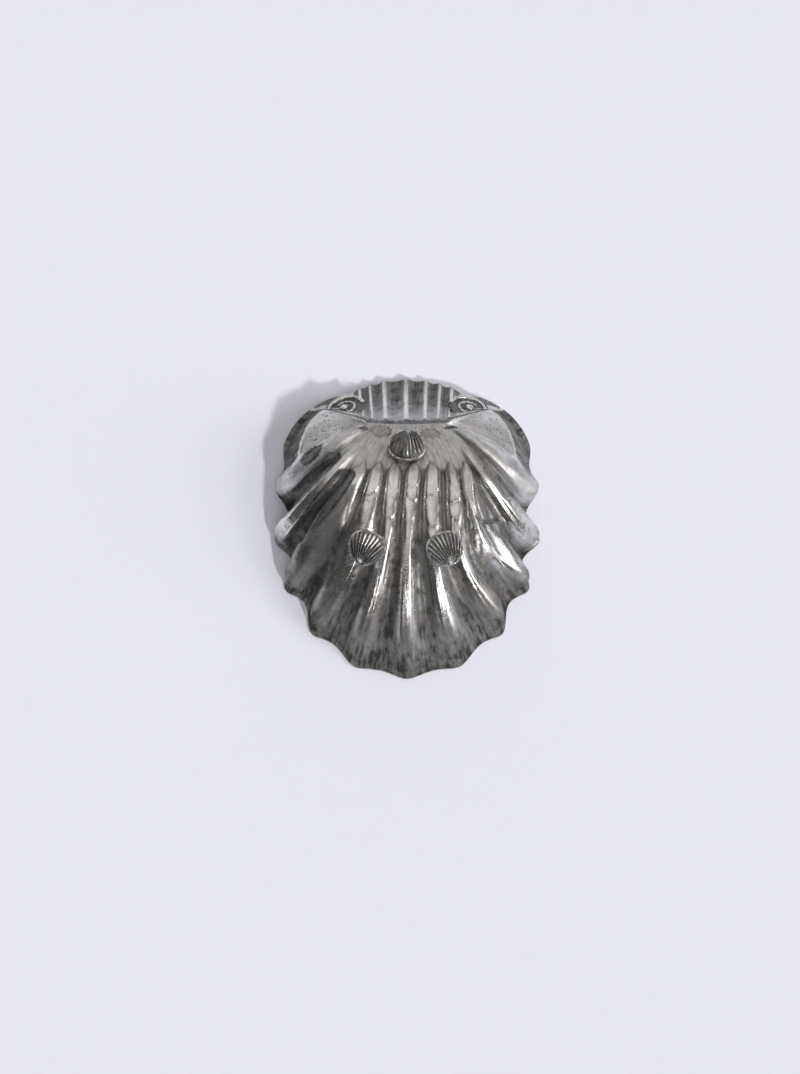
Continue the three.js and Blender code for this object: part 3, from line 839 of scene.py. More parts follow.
class Graph:
    """Adds and links the nodes of one tree."""

    def __init__(self, tree: Tree) -> None:
        """Keep the tree."""
        self.tree = tree

    def add(self, kind: str, inputs: dict | None = None, **settings: object) -> bpy.types.Node:
        """Add a node.

        Args:
            kind: Node type.
            inputs: Values or signals, by input name or number.
            **settings: Properties of the node.

        Returns:
            The node.
        """
        node = self.tree.nodes.new(kind)
        for key, value in settings.items():
            setattr(node, key, value)
        for key, value in (inputs or {}).items():
            self.link(value, node.inputs[key])
        return node

    def out(self, kind: str, inputs: dict | None = None, output: int | str = 0,
            **settings: object) -> Signal:
        """Add a node and give one of its outputs.

        Args:
            kind: Node type.
            inputs: Values or signals, by input name or number.
            output: Name or number of the output.
            **settings: Properties of the node.

        Returns:
            The output.
        """
        return Signal(self, self.add(kind, inputs, **settings).outputs[output])

    def link(self, value: object, socket: Socket) -> None:
        """Link a signal to an input, or set the input's value.

        Args:
            value: Signal or value.
            socket: Input.
        """
        if isinstance(value, Signal):
            self.tree.links.new(value.socket, socket)
        else:
            socket.default_value = value

    def given(self) -> dict[str, Signal]:
        """Inputs of a node group, by name."""
        return {out.name: Signal(self, out) for out in self.add("NodeGroupInput").outputs}

    def math(self, operation: str, *values: object) -> Signal:
        """Add a Math node."""
        return self.out("ShaderNodeMath", dict(enumerate(values)), operation=operation)

    def vector(self, operation: str, inputs: dict, output: str = "Vector") -> Signal:
        """Add a Vector Math node."""
        return self.out("ShaderNodeVectorMath", inputs, output, operation=operation)

    def ramp(self, value: object, low: float, high: float, to: Span = (0.0, 1.0)) -> Signal:
        """Map a value smoothly from one range to another."""
        inputs = {0: value, 1: low, 2: high, 3: to[0], 4: to[1]}
        return self.out("ShaderNodeMapRange", inputs, interpolation_type="SMOOTHSTEP")

    def mix(self, share: object, first: object, last: object) -> Signal:
        """Mix two colours."""
        return self.out("ShaderNodeMix", {0: share, 6: first, 7: last}, 2, data_type="RGBA")


def fresh_graph(owner: bpy.types.ID) -> Graph:
    """Empty the node tree of a material or a world, and give its graph."""
    owner.use_nodes = True
    owner.node_tree.nodes.clear()
    return Graph(owner.node_tree)


def new_group(name: str, kind: str, inputs: dict[str, str],
              outputs: dict[str, str]) -> Tree:
    """Make a node group with its named sockets.

    Args:
        name: Name of the group.
        kind: Tree type.
        inputs: Types of the inputs, by name.
        outputs: Types of the outputs, by name.

    Returns:
        The group.
    """
    tree = bpy.data.node_groups.new(name, kind)
    for direction, sockets in (("INPUT", inputs), ("OUTPUT", outputs)):
        for title, sort in sockets.items():
            tree.interface.new_socket(title, in_out=direction, socket_type="NodeSocket" + sort)
    return tree


def shaping_tree(name: str, sizes: tuple[str, ...]) -> Tree:
    """Make a Geometry Nodes tree that takes some sizes and a material.

    Args:
        name: Name of the tree.
        sizes: Names of its sizes.

    Returns:
        The tree, without its nodes.
    """
    inputs = {"Geometry": "Geometry", **dict.fromkeys(sizes, "Float"), "Material": "Material"}
    return new_group(name, "GeometryNodeTree", inputs, {"Geometry": "Geometry"})


def end_tree(g: Graph, geometry: Signal, material: Signal) -> None:
    """End a Geometry Nodes tree with real geometry in its material.

    Args:
        g: Graph of the tree.
        geometry: What the tree has made.
        material: Material input.
    """
    real = g.out("GeometryNodeRealizeInstances", {"Geometry": geometry})
    dressed = g.out("GeometryNodeSetMaterial", {"Geometry": real, "Material": material})
    g.add("NodeGroupOutput", {"Geometry": dressed})


def run_tree(piece: Piece, tree: Tree, values: dict) -> None:
    """Run a Geometry Nodes tree on an object and keep the result as its plain mesh.

    Args:
        piece: Object.
        tree: Tree with named inputs.
        values: Input values by socket name.
    """
    step = piece.modifiers.new(tree.name, "NODES")
    step.node_group = tree
    for item in tree.interface.items_tree:
        if item.item_type == "SOCKET" and item.in_out == "INPUT" and item.name in values:
            step[item.identifier] = values[item.name]
    bake(piece)


@dataclass(frozen=True)
class HammerMarks:
    """Depth and distance of hammer marks, in millimetres, and their place in the noise."""

    depth: float
    spacing: float
    seed: float


class Ribbing:
    """Geometry Nodes tree that raises ridges, hammering and chased detail out of a smooth form."""

    sizes = ("Ridge Height", "Ridge Rounding", "Hammering", "Hammer Spacing", "Seed")

    def __init__(self) -> None:
        """Build the tree."""
        self.tree = shaping_tree("chased_ribbing", self.sizes)
        g = Graph(self.tree)
        given = g.given()

        def read(name: str, kind: str = "FLOAT") -> Signal:
            """Read an attribute of the mesh."""
            return g.out("GeometryNodeInputNamedAttribute", {"Name": name}, "Attribute",
                         data_type=kind)

        outward = read("outward", "FLOAT_VECTOR")
        sine = g.math("SINE", read("ridge_step") * math.pi)
        rounding = given["Ridge Rounding"]
        squared = rounding * rounding
        hypot = g.math("SQRT", sine * sine + squared)
        whole = g.math("SQRT", squared + 1.0) - rounding
        section = 1.0 - (hypot - rounding) / whole
        ridge = section * read("ridge_gain") * given["Ridge Height"]
        cells = {
            "Scale": 1.0 / given["Hammer Spacing"],
            "Vector": g.out("GeometryNodeInputPosition"),
            "Detail": 2.0,
            "W": given["Seed"],
        }
        noise = g.out("ShaderNodeTexNoise", cells, noise_dimensions="4D")
        blows = (noise - 0.5) * given["Hammering"] * read("hammered")
        height = ridge + blows + read("detail")
        offset = g.vector("SCALE", {0: outward, 3: height})
        moved = g.out("GeometryNodeSetPosition", {"Geometry": given["Geometry"],
                                                  "Offset": offset})
        end_tree(g, moved, given["Material"])

    def apply(self, piece: Piece, material: Material, height: float, rounding: float,
              marks: HammerMarks) -> None:
        """Raise the ridges of a piece and keep the result as its plain mesh.

        Args:
            piece: Object whose mesh holds ridge_step, ridge_gain, hammered, detail and outward.
            material: Material of the piece.
            height: Height of a ridge, in millimetres.
            rounding: Rounding of a ridge's top, as a share of its step.
            marks: Hammer marks over it.
        """
        values = (height * MM, rounding, marks.depth * MM, marks.spacing * MM, marks.seed)
        run_tree(piece, self.tree, dict(zip(self.sizes, values)) | {"Material": material})


# Finishes


@dataclass(frozen=True)
class Finish:
    """How one kind of silver surface has aged."""

    name: str
    tone: Triple = (0.80, 0.79, 0.78)
    tarnish: Triple = (0.34, 0.29, 0.25)
    # groove is the colour that dirt, painted shade and pits darken towards.
    groove: Triple = (0.04, 0.038, 0.036)
    roughness: float = 0.19
    dull_roughness: float = 0.46
    tarnish_amount: float = 0.4
    pits: float = 0.12
    pit_spacing: float = 1.5
    scratches: float = 0.6
    bump_strength: float = 0.5
    bump_depth: float = 0.25


class Finishes(Enum):
    """The finishes on the dish."""

    RAISED = Finish("raised_silver")
    CREST = Finish("crest_silver", tone=(0.80, 0.79, 0.775), roughness=0.24, pits=0.1,
                   tarnish_amount=0.2, bump_strength=0.2)
    CAST = Finish("cast_silver", roughness=0.24, pits=0.2, tarnish_amount=0.35)


@dataclass
class SilverAge:
    """Shader node group with the wear, tarnish, pits and scratches of old silver, and the
    darkening that its Hollow input asks for: dirt, and on the bowl and the crest painted shade.

    Paces are cells to the metre. Each brush stroke and each hair has its own pace across and
    along it.
    """

    cloud_pace: float = 38
    mottle_pace: float = 210
    speck_pace: float = 900
    ripple_pace: float = 300
    grain_pace: float = 1700
    pitted_pace: float = 75
    pit_size_pace: float = 420
    hair_pace: float = 170
    stroke_paces: tuple[Span, ...] = ((1400, 110), (520, 60))
    hair_turns: Span = (0.45, 1.9)
    hair_tilt: Span = (0.2, 0.35)
    hair_stretch: Triple = (1.0, 26.0, 7.0)
    inputs: ClassVar[dict[str, str]] = {
        **dict.fromkeys(("Place", "Lengthwise"), "Vector"),
        **dict.fromkeys(("Tone", "Tarnish Tone", "Groove Tone"), "Color"),
        **dict.fromkeys(("Polished Roughness", "Dull Roughness", "Tarnish", "Pits",
                         "Pit Spacing", "Scratches", "Hollow", "Dull", "Pitted", "Solder"),
                        "Float"),
    }
    outputs: ClassVar[dict[str, str]] = {
        "Color": "Color", "Roughness": "Float", "Metallic": "Float", "Height": "Float"}

    def __post_init__(self) -> None:
        """Build the group."""
        self.tree = new_group("aged_silver", "ShaderNodeTree", self.inputs, self.outputs)
        self.g = Graph(self.tree)
        self.given = self.g.given()
        mottle = self.g.ramp(self.noise(self.mottle_pace, 3.0, 0.6), 0.42, 0.7)
        stroke, pit, hair = self.strokes(), self.pits(), self.hairs()
        tarnish = self.tarnish(mottle)
        darkening = self.darkening(mottle, stroke)
        self.g.add("NodeGroupOutput", {
            "Color": self.colour(tarnish, darkening, pit),
            "Roughness": self.roughness(mottle, tarnish, darkening, pit, hair),
            # The metal gives way where the darkening is deep, in painted shade as in dirt.
            "Metallic": 1.0 - self.g.ramp(darkening, 0.45, 1.0, (0.0, 0.7)),
            "Height": self.height(stroke, pit, hair),
        })

    def noise(self, pace: float, detail: float = 3.0, rough: float = 0.55,
              place: Signal | None = None) -> Signal:
        """Noise over the surface.

        Args:
            pace: Cells to the metre.
            detail: Number of finer layers.
            rough: Share that each finer layer keeps.
            place: Place to read it at, in another frame than the piece's own.

        Returns:
            The noise.
        """
        inputs = {"Vector": place or self.given["Place"], "Scale": pace, "Detail": detail,
                  "Roughness": rough}
        return self.g.out("ShaderNodeTexNoise", inputs)

    def tarnish(self, mottle: Signal) -> Signal:
        """Clouds of tarnish, thicker on the solder."""
        cloud = self.g.ramp(self.noise(self.cloud_pace, 4.0, 0.62), 0.47, 0.72)
        amount = (cloud * 0.75 + mottle * 0.5) * self.given["Tarnish"]
        return (amount + self.given["Solder"] * 0.45).clamped()

    def darkening(self, mottle: Signal, stroke: Signal) -> Signal:
        """Darkening where the Hollow input asks, dirt and painted shade alike, brushed thin along
        the ribs.
        """
        darkening = (self.given["Hollow"] * (0.9 + mottle * 0.15)).clamped()
        brushed = (0.1 + self.given["Dull"] * 0.28) * (stroke - 0.25)
        return (darkening + brushed).clamped()

    def strokes(self) -> Signal:
        """Brush marks that run along the ribs."""
        parts = []
        for across, length in self.stroke_paces:
            drawn = self.g.out("ShaderNodeMapping", {"Vector": self.given["Lengthwise"],
                                                     "Scale": (across, length, 1.0)})
            parts.append(self.g.ramp(self.noise(1.0, 2.0, 0.6, drawn), 0.44, 0.66))
        return (parts[0] + parts[1]) * 0.5

    def pits(self) -> Signal:
        """Round pits, thick where the metal is pitted."""
        cells = self.g.out(
            "ShaderNodeTexVoronoi",
            {"Vector": self.given["Place"], "Scale": 1.0 / self.given["Pit Spacing"],
             "Randomness": 1.0}, "Distance", feature="F1")
        patches = self.g.ramp(self.noise(self.pitted_pace), 0.42, 0.66)
        spread = (patches * (self.given["Pits"] + self.given["Pitted"])).clamped()
        grown = self.g.ramp(self.noise(self.pit_size_pace, 1.0), 0.36, 0.62, (0.3, 1.0))
        size = (0.12 + spread * 0.32) * grown
        away = self.g.out("ShaderNodeMapRange", {0: cells, 1: size * 0.45, 2: size,
                                                 3: 0.0, 4: 1.0})
        return (1.0 - away).clamped() * (spread * 1.6).clamped()

    def hairs(self) -> Signal:
        """Hair scratches in two directions."""
        parts = []
        for turn in self.hair_turns:
            drawn = self.g.out("ShaderNodeMapping", {
                "Vector": self.given["Place"], "Rotation": (*self.hair_tilt, turn),
                "Scale": self.hair_stretch})
            parts.append(self.g.ramp(self.noise(self.hair_pace, 2.0, 0.6, drawn), 0.56, 0.7))
        return self.g.math("MAXIMUM", *parts) * self.given["Scratches"]

    def colour(self, tarnish: Signal, darkening: Signal, pit: Signal) -> Signal:
        """Colour of the metal with its tarnish, specks and pits, and the darkening of dirt and
        painted shade.
        """
        groove = self.given["Groove Tone"]
        speck = self.g.ramp(self.noise(self.speck_pace, 2.0, 0.5), 0.55, 0.75)
        colour = self.g.mix(tarnish, self.given["Tone"], self.given["Tarnish Tone"])
        for share in (speck * 0.18, darkening, pit * 0.8):
            colour = self.g.mix(share, colour, groove)
        return colour

    def roughness(self, mottle: Signal, tarnish: Signal, darkening: Signal, pit: Signal,
                  hair: Signal) -> Signal:
        """Roughness, from polished to dull, and rougher where it is darkened and in pits.

        Args:
            mottle: Small patches.
            tarnish: Tarnish.
            darkening: Darkening from dirt and painted shade.
            pit: Pits.
            hair: Hair scratches.

        Returns:
            The roughness.
        """
        polished = self.given["Polished Roughness"]
        dull = (self.given["Dull"] + tarnish * 0.5).clamped()
        rough = polished + dull * (self.given["Dull Roughness"] - polished)
        rough = rough + (mottle - 0.4) * 0.09 + hair * 0.06
        return (rough + (darkening + pit) * 0.14).clamped()

    def height(self, stroke: Signal, pit: Signal, hair: Signal) -> Signal:
        """Height of the fine relief, for the bump."""
        ripple = self.noise(self.ripple_pace, 3.0, 0.5) * 1.1
        grain = self.noise(self.grain_pace, 2.0, 0.6) * (0.12 + self.given["Dull"] * 0.3)
        grain = grain + stroke * 0.35
        return ripple + grain - (pit + hair * 0.1)


class FinishShop:
    """Makes each finish once and gives its material."""

    def __init__(self) -> None:
        """Build the shared group."""
        self.age = SilverAge()
        self.made: dict[str, Material] = {}

    def material(self, choice: Finishes) -> Material:
        """Make or find the material of a finish.

        Args:
            choice: Finish.

        Returns:
            The material.
        """
        finish = choice.value
        if finish.name in self.made:
            return self.made[finish.name]
        material = bpy.data.materials.new(finish.name)
        g = fresh_graph(material)

        def read(name: str, output: str = "Fac") -> Signal:
            """Read an attribute of the mesh."""
            return g.out("ShaderNodeAttribute", output=output, attribute_name=name)

        aged = g.add("ShaderNodeGroup", node_tree=self.age.tree)
        values = {
            "Place": g.out("ShaderNodeTexCoord", output="Object"),
            "Lengthwise": read("lengthwise", "Vector"),
            "Tone": (*finish.tone, 1),
            "Tarnish Tone": (*finish.tarnish, 1),
            "Groove Tone": (*finish.groove, 1),
            "Polished Roughness": finish.roughness,
            "Dull Roughness": finish.dull_roughness,
            "Tarnish": finish.tarnish_amount,
            "Pits": finish.pits,
            "Pit Spacing": finish.pit_spacing * MM,
            "Scratches": finish.scratches,
            **{name.title(): read(name) for name in ("hollow", "dull", "pitted", "solder")},
        }
        for key, value in values.items():
            g.link(value, aged.inputs[key])
        found = {out.name: Signal(g, out) for out in aged.outputs}
        bump = g.out("ShaderNodeBump", {
            "Height": found["Height"], "Strength": finish.bump_strength,
            "Distance": finish.bump_depth * MM})
        shader = g.out("ShaderNodeBsdfPrincipled", {
            "Base Color": found["Color"], "Roughness": found["Roughness"],
            "Metallic": found["Metallic"], "Normal": bump})
        g.add("ShaderNodeOutputMaterial", {"Surface": shader})
        self.made[finish.name] = material
        return material


# Pieces


@dataclass
class Workshop:
    """What every sub-assembly is made with."""

    maker: MeshMaker
    ribbing: Ribbing
    finishes: FinishShop

    def hand_over(self, piece: Piece, node: str, slot: str) -> None:
        """Let a finished piece stand for its node.

        Args:
            piece: Finished object.
            node: CAD node that it replaces.
            slot: Material slot of the record. Not used.
        """
        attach(piece, "root")
        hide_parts(node)
        LOG.info("%s: %d faces", piece.name, len(piece.data.polygons))


@dataclass(frozen=True)
class Dent:
    """A soft hollow, swelling or mark on the bowl, placed in plan."""

    x: float
    y: float
    wide: float
    long: float
    height: float
    turn: float = 0.0
    darkening: float = 0.0

    def share(self, points: Array) -> Array:
        """Fall-off of the dent at points, 1 at its middle."""
        return np.exp(-self.reach(points) ** 2)

    def reach(self, points: Array) -> Array:
        """Distance from the middle, 1 at the dent's edge."""
        x, y = points[..., 0] - self.x, points[..., 1] - self.y
        turn = math.radians(self.turn)
        across = (x * math.cos(turn) + y * math.sin(turn)) / self.wide
        along = (-x * math.sin(turn) + y * math.cos(turn)) / self.long
        return np.hypot(across, along)


@dataclass(frozen=True)
class Bean:
    """A long hollow with round ends, between two ridges of the bowl's side."""

    middle: float
    half: float
    start: float
    stop: float
    depth: float
    roundness: float = 3.5
    bevel: float = 1.6
    flank: float = 0.75

    def hollow(self, step: Array, run: Array) -> Array:
        """Depth of the hollow, in millimetres.

        Args:
            step: Places across the ridges.
            run: Distances from the neck.

        Returns:
            Depths.
        """
        off = np.abs(step - self.middle) / self.half
        bow = self.roundness * off * off
        start = smoothstep(run - self.start - bow, 0, self.bevel)
        stop = 1 - smoothstep(run + bow - self.stop, -self.bevel, 0)
        return self.depth * start * stop * (1 - smoothstep(off, self.flank, 1))


@dataclass
class Places:
    """Places on the bowl: across the fan, along it, across the ridges, and in millimetres."""

    fan: Array
    along: Array
    step: Array
    points: Array

    @property
    def steps(self) -> Array:
        """Distance from the middle ridge, in ridge steps."""
        return np.abs(self.step)

    @property
    def off(self) -> Array:
        """Distance from the nearest ridge's crown, in ridge steps."""
        return np.abs(self.step - np.round(self.step))

    @property
    def y(self) -> Array:
        """Place towards the crest, in millimetres."""
        return self.points[..., 1]

    @property
    def run(self) -> Array:
        """Distance from the neck, in millimetres."""
        return self.along * np.linalg.norm(SHELL.rim(self.fan) - SHELL.neck(self.fan), axis=-1)

    @property
    def gain(self) -> Array:
        """Share of its full height that a ridge has."""
        return SHELL.rib_gain(self.step, self.along)


@dataclass
class Zones:
    """Shares of each place that belong to a shoulder, its steep wall, the rim and the neck."""

    shoulder: Array
    wall: Array
    rim: Array
    neck: Array


@dataclass(frozen=True)
class BowlDirtAndShade:
    """How dark the dirt and the painted shade lie in each part of the bowl; pairs run from -X to
    +X.
    """

    # trough and bean: grime in the hollows plus painted shade, darker on the +X side, away from
    # the light.
    trough: Span = (0.93, 0.98)
    bean: Span = (0.72, 0.95)
    gap: float = 0.85
    # shade and worn are painted shade that hides reflected highlights: on the -X half of each
    # broad rib, and over the third rib at +X.
    shade: float = 0.62
    worn: float = 0.8
    # wall and rim: tarnish plus painted shade that dims the reflection of the table; knob is
    # lighter, on the knobs; neck darkens the neck a little.
    wall: float = 0.92
    rim: float = 0.93
    knob: float = 0.4
    neck: float = 0.37
    mark: float = 0.9
    crown_polish: float = 0.85
    dull_shoulder: float = 0.72
    dull_rim: float = 0.95
    dull_neck: float = 0.85
    pitted_shoulder: float = 1.6
    pitted_rim: float = 0.1
    inside: float = 0.25
    dull_inside: float = 0.45


@dataclass
class RibbedBowl:
    """The raised bowl: ribs fanning from the neck, smooth shoulders and a lobed rim.

    ridge_fans gives the fan of each ridge at each of ridge_alongs. The methods that shape it
    take at, the places that they give values for, and points, places in millimetres.
    """

    shop: Workshop
    rib_facets: int = 28
    shoulder_facets: int = 44
    rows: int = 160
    crowding: float = 1.25
    hammering: HammerMarks = HammerMarks(0.34, 6.0, 3.0)
    inside_softness: tuple[int, int] = (24, 6)
    sharp_angle: float = 60
    ridge_alongs: tuple[float, ...] = (0.2, 0.42, 0.62, 0.8, 1.0)
    ridge_fans: tuple[tuple[float, ...], ...] = (
        (-4.64, -4.64, -4.68, -4.75, -5),
        (-3.95, -3.70, -3.70, -3.75, -4),
        (-3.45, -2.75, -2.30, -2.60, -3),
        (-2.70, -2.00, -1.55, -1.72, -2),
        (-1.55, -0.92, -0.78, -0.82, -1),
        (-0.40, -0.08, 0.02, 0.04, 0),
        (0.74, 0.62, 0.68, 0.83, 1),
        (1.68, 1.43, 1.42, 1.68, 2),
        (2.75, 2.52, 2.76, 2.93, 3),
        (3.74, 3.70, 3.77, 3.86, 4),
        (4.70, 4.70, 4.72, 4.80, 5),
    )
    lancet_tip: float = 23.5
    lancet_length: float = 8
    lancet_point: float = 0.02
    lancet_half: float = 0.43
    lancet_powers: Span = (5, 2.2)
    lancet_power_span: Span = (-8, 14)
    lancet_ribs: Span = (3.3, 3.5)
    lancet_fade: Span = (8, 34)
    line_depth: float = 0.22
    line_place: float = 0.72
    line_width: float = 0.035
    shingle_depth: float = 0.55
    shingles: tuple[float, ...] = (0, 8, 18)
    shingle_first: float = 5.5
    shingle_ribs: float = 2.5
    shingle_bow: float = 7
    shingle_slip: float = 2.6
    shingle_skew: float = 9
    shingle_rag: float = 0.5
    growth_depth: float = 0.2
    growth_spacing: float = 7.5
    growth_sharpness: int = 24
    growth_ribs: float = 3
    crown_flat: float = 0.06
    crown_groove: float = 0.35
    crown_groove_width: float = 0.034
    mouth_bead: float = 0.75
    bead_width: float = 1.9
    bead_turn: Span = (5.6, 5.9)
    crease: float = 0.4
    crease_width: float = 0.05
    beans: tuple[Bean, ...] = (
        Bean(4.50, 0.43, 26, 71, 1.3),
        Bean(3.48, 0.45, 33, 80, 1.5),
        Bean(-4.30, 0.24, 34, 57, 1.6),
        Bean(-3.52, 0.36, 31, 66, 0.9),
    )
    dents: tuple[Dent, ...] = (
        Dent(51.8, 32.4, 7.6, 6.2, -1.5, -28, darkening=0.93),
        Dent(-55, 32, 6, 5, -0.7, 20),
        Dent(-61, 27, 5, 6, 0.5, 0),
        Dent(35, 44, 7, 5, -0.5, 10),
        Dent(-38, -8, 6, 9, -0.5, -40),
        Dent(46, -12, 5, 9, -0.4, 40),
    )
    solders: tuple[Dent, ...] = (
        Dent(14.5, 42.5, 5.6, 3.6, 0.35, 0),
        Dent(-13, 41.0, 5.2, 3.0, 0.3, 8),
    )
    ring: Dent = Dent(24.2, 44.2, 4.6, 2.4, 0.5, 10)
    nick: Dent = Dent(-24.4, 45.4, 5.2, 2.0, -1.1, -6)
    dirt_and_shade_shares: BowlDirtAndShade = BowlDirtAndShade()

    def fans(self) -> Array:
        """Places across the fan."""
        ribs = np.linspace(-SHELL.ribs, SHELL.ribs, 2 * SHELL.ribs * self.rib_facets + 1)
        shoulder = np.linspace(SHELL.ribs, SHELL.fan_end, self.shoulder_facets + 1)[1:]
        return np.concatenate([-shoulder[::-1], ribs, shoulder])

    def places(self) -> Places:
        """Every place of the grid, with rows closer together towards the rim."""
        along = 1 - (1 - np.linspace(0, 1, self.rows + 1)) ** self.crowding
        fan, along = np.meshgrid(self.fans(), along, indexing="ij")
        return Places(fan, along, self.ridge_step(fan, along), SHELL.base(fan, along))

    def ridge_step(self, fan: Array, along: Array) -> Array:
        """Place across the ridges, which wander from side to side on their way to the rim.

        Args:
            fan: Places across the fan.
            along: Shares of the way to the rim.

        Returns:
            Places in ridge steps, whole on each ridge.
        """
        reached = np.clip(along, self.ridge_alongs[0], 1)
        end = SHELL.fan_end
        lines = [np.full_like(reached, -end)]
        for fans in self.ridge_fans:
            curve = np.polyfit(self.ridge_alongs, fans, len(fans) - 1)
            lines.append(np.polyval(curve, reached))
        lines.append(np.full_like(reached, end))
        names = [-end, *range(-SHELL.ribs, SHELL.ribs + 1), end]
        step = np.full(np.broadcast(fan, along).shape, -end)
        for number in range(len(names) - 1):
            first, last = lines[number], lines[number + 1]
            share = np.clip((fan - first) / (last - first), 0, 1)
            step = step + (names[number + 1] - names[number]) * share
        return step

    def broad(self, at: Places) -> tuple[Array, Array]:
        """Section of the broad, close-set ribs behind the feet, and where they show.

        Returns:
            Shares of a rib's height, and shares of the change from plain ridges.
        """
        grown = np.clip((self.lancet_tip - at.y) / self.lancet_length, 0, 1)
        half = self.lancet_point + self.lancet_half * (1 - (1 - grown) ** 2)
        power = lerp(*self.lancet_powers, smoothstep(-at.y, *self.lancet_power_span))
        arch = np.maximum(0, 1 - (at.off / half) ** power) * smoothstep(grown, 0, 0.05)
        where = 1 - smoothstep(at.steps, *self.lancet_ribs)
        return arch, where * (1 - smoothstep(-at.y, *self.lancet_fade))

    def sections(self, at: Places) -> Array:
        """Change of the ridges' section from the plain one, as a share of their height."""
        arch, where = self.broad(at)
        flat_top = np.maximum(0, at.off - self.crown_flat) * 0.5 / (0.5 - self.crown_flat)
        wanted = lerp(ridge_section(flat_top, SHELL.rib_round), arch, where)
        return wanted - ridge_section(at.step, SHELL.rib_round)

    def lancet_lines(self, at: Places) -> Array:
        """Depth of the fine line inside each side of a lancet."""
        off = (at.off - self.lancet_half * self.line_place) / self.line_width
        shown = smoothstep(self.lancet_tip - at.y, 1, 4) * (1 - smoothstep(-at.y, -4, 0))
        return self.line_depth * np.exp(-(off**2)) * self.broad(at)[1] * shown

    def shingle_drops(self, at: Places) -> Array:
        """Depth of the ragged steps that cross the broad ribs, uneven from rib to rib."""
        rib = np.round(at.step)
        drops = np.zeros_like(rib)
        for number, start in enumerate(self.shingles):
            slip = self.shingle_slip * wave(rib, 2.4 + number, 1.3 * number + 0.6)
            skew = self.shingle_skew * wave(rib, 1.9, 2.2 * number) * (at.step - rib)
            ragged = self.shingle_rag * wave(at.step, 26, 2 * number)
            edge = self.shingle_first + slip - start + skew + ragged + self.shingle_bow * at.off
            depth = self.shingle_depth * (0.6 + 0.4 * wave(rib, 3.7, 2.1 * number))
            drops += depth * between(edge - at.y, (0, 0.5), (1.5, 8))
        inside = (at.off < self.lancet_half) * (at.steps < self.shingle_ribs)
        return drops * inside * self.broad(at)[1]

    def crown_grooves(self, at: Places) -> Array:
        """Depth of the fine groove along each plain ridge's crown."""
        groove = np.exp(-((at.off / self.crown_groove_width) ** 2))
        shown = between(at.along, (0.3, 0.4), (0.88, 0.95))
        return self.crown_groove * groove * (1 - self.broad(at)[1]) * shown

    def growth_lines(self, at: Places) -> Array:
        """Depth of the broken lines across the ribs, like those of a shell's growth."""
        uneven = 1.2 * wave(at.step, 2.3) + 0.8 * wave(at.step, 5.1, 1.7)
        line = np.cos(2 * np.pi * (at.y + uneven) / self.growth_spacing) ** self.growth_sharpness
        broken = np.sin(at.step * 7.3 - at.y * 0.21) + np.sin(at.y * 0.13 + at.step * 3.1)
        zone = between(at.along, (0.5, 0.62), (0.8, 0.88)) * (at.steps < self.growth_ribs)
        return self.growth_depth * line * smoothstep(broken, 0.2, 1) * zone

    def chasing(self, at: Places) -> Array:
        """Height of the chased work over the plain ridges, in millimetres."""
        height = SHELL.rib_height * at.gain * self.sections(at)
        height = height - self.lancet_lines(at) - self.shingle_drops(at)
        height = height - self.crown_grooves(at) - self.growth_lines(at)
        return height * (at.steps < SHELL.ribs + 0.5)

    def troughs(self, at: Places) -> Array:
        """Depth of the long bean-shaped hollows between the side ridges, in millimetres."""
        return np.maximum.reduce([bean.hollow(at.step, at.run) for bean in self.beans])

    def side_room(self, points: Array) -> Array:
        """Level distance from a shoulder's edge beside the scroll, in millimetres."""
        end = np.array(SHELL.fan_end)
        start, stop = SHELL.neck(end), SHELL.rim(end)
        edge = unit(stop - start)
        x, y = np.abs(points[..., 0]) - start[0], points[..., 1] - start[1]
        return np.abs(x * edge[1] - y * edge[0])

    def edges(self, at: Places) -> Array:
        """Height of the bead round the mouth and of the crease beside the outer ribs."""
        near_neck = np.sin(np.pi * np.clip(at.run / self.bead_width, 0, 1))
        near_side = np.sin(np.pi * np.clip(self.side_room(at.points) / self.bead_width, 0, 1))
        fans = np.abs(at.fan)
        side = near_side * (fans > self.bead_turn[0]) * (1 - smoothstep(at.along, 0.5, 0.75))
        bead = np.maximum(near_neck * (fans < self.bead_turn[1]), side)
        crease = np.exp(-(((at.steps - SHELL.ribs) / self.crease_width) ** 2))
        crease = crease * between(at.along, (0.08, 0.2), (0.84, 0.92))
        return self.crease * crease + self.mouth_bead * bead

    def marks(self, points: Array) -> tuple[Array, Array, Array]:
        """Dents, solder, the small ring and the half-moon hollow.

        Returns:
            Heights in millimetres, shares of solder, and how dark the marks are.
        """
        mark = self.dirt_and_shade_shares.mark
        wobble = 0.2 * wave(points[..., 0], 1.9, 1) * np.cos(points[..., 1] * 2.3)
        height, solder, mark_darkness = (np.zeros(points.shape[:-1]) for _ in range(3))
        for dent in self.dents:
            height += dent.height * dent.share(points)
            inner = 1 - smoothstep(dent.reach(points) + 0.4 * wobble, 0.8, 1.05)
            mark_darkness = np.maximum(mark_darkness, dent.darkening * inner)
        for drop in self.solders:
            reach = drop.reach(points) + wobble
            solder = np.maximum(solder, 1 - smoothstep(reach, 0.75, 1.0))
            height += drop.height * (1 - smoothstep(reach, 0.6, 1.1))
            mark_darkness = np.maximum(mark_darkness, mark * np.exp(-(((reach - 0.95) / 0.14) ** 2)))
        reach = self.ring.reach(points)
        wall = np.exp(-(((reach + 0.5 * wobble - 0.9) / 0.22) ** 2))
        height += self.ring.height * (wall - self.ring.share(points))
        mark_darkness = np.maximum(mark_darkness, mark * (1 - smoothstep(reach, 0.5, 0.8)) * (1 - wall))
        nick = 1 - smoothstep(self.nick.reach(points), 0.6, 1.0)
        return height + self.nick.height * nick, solder, np.maximum(mark_darkness, mark * nick)

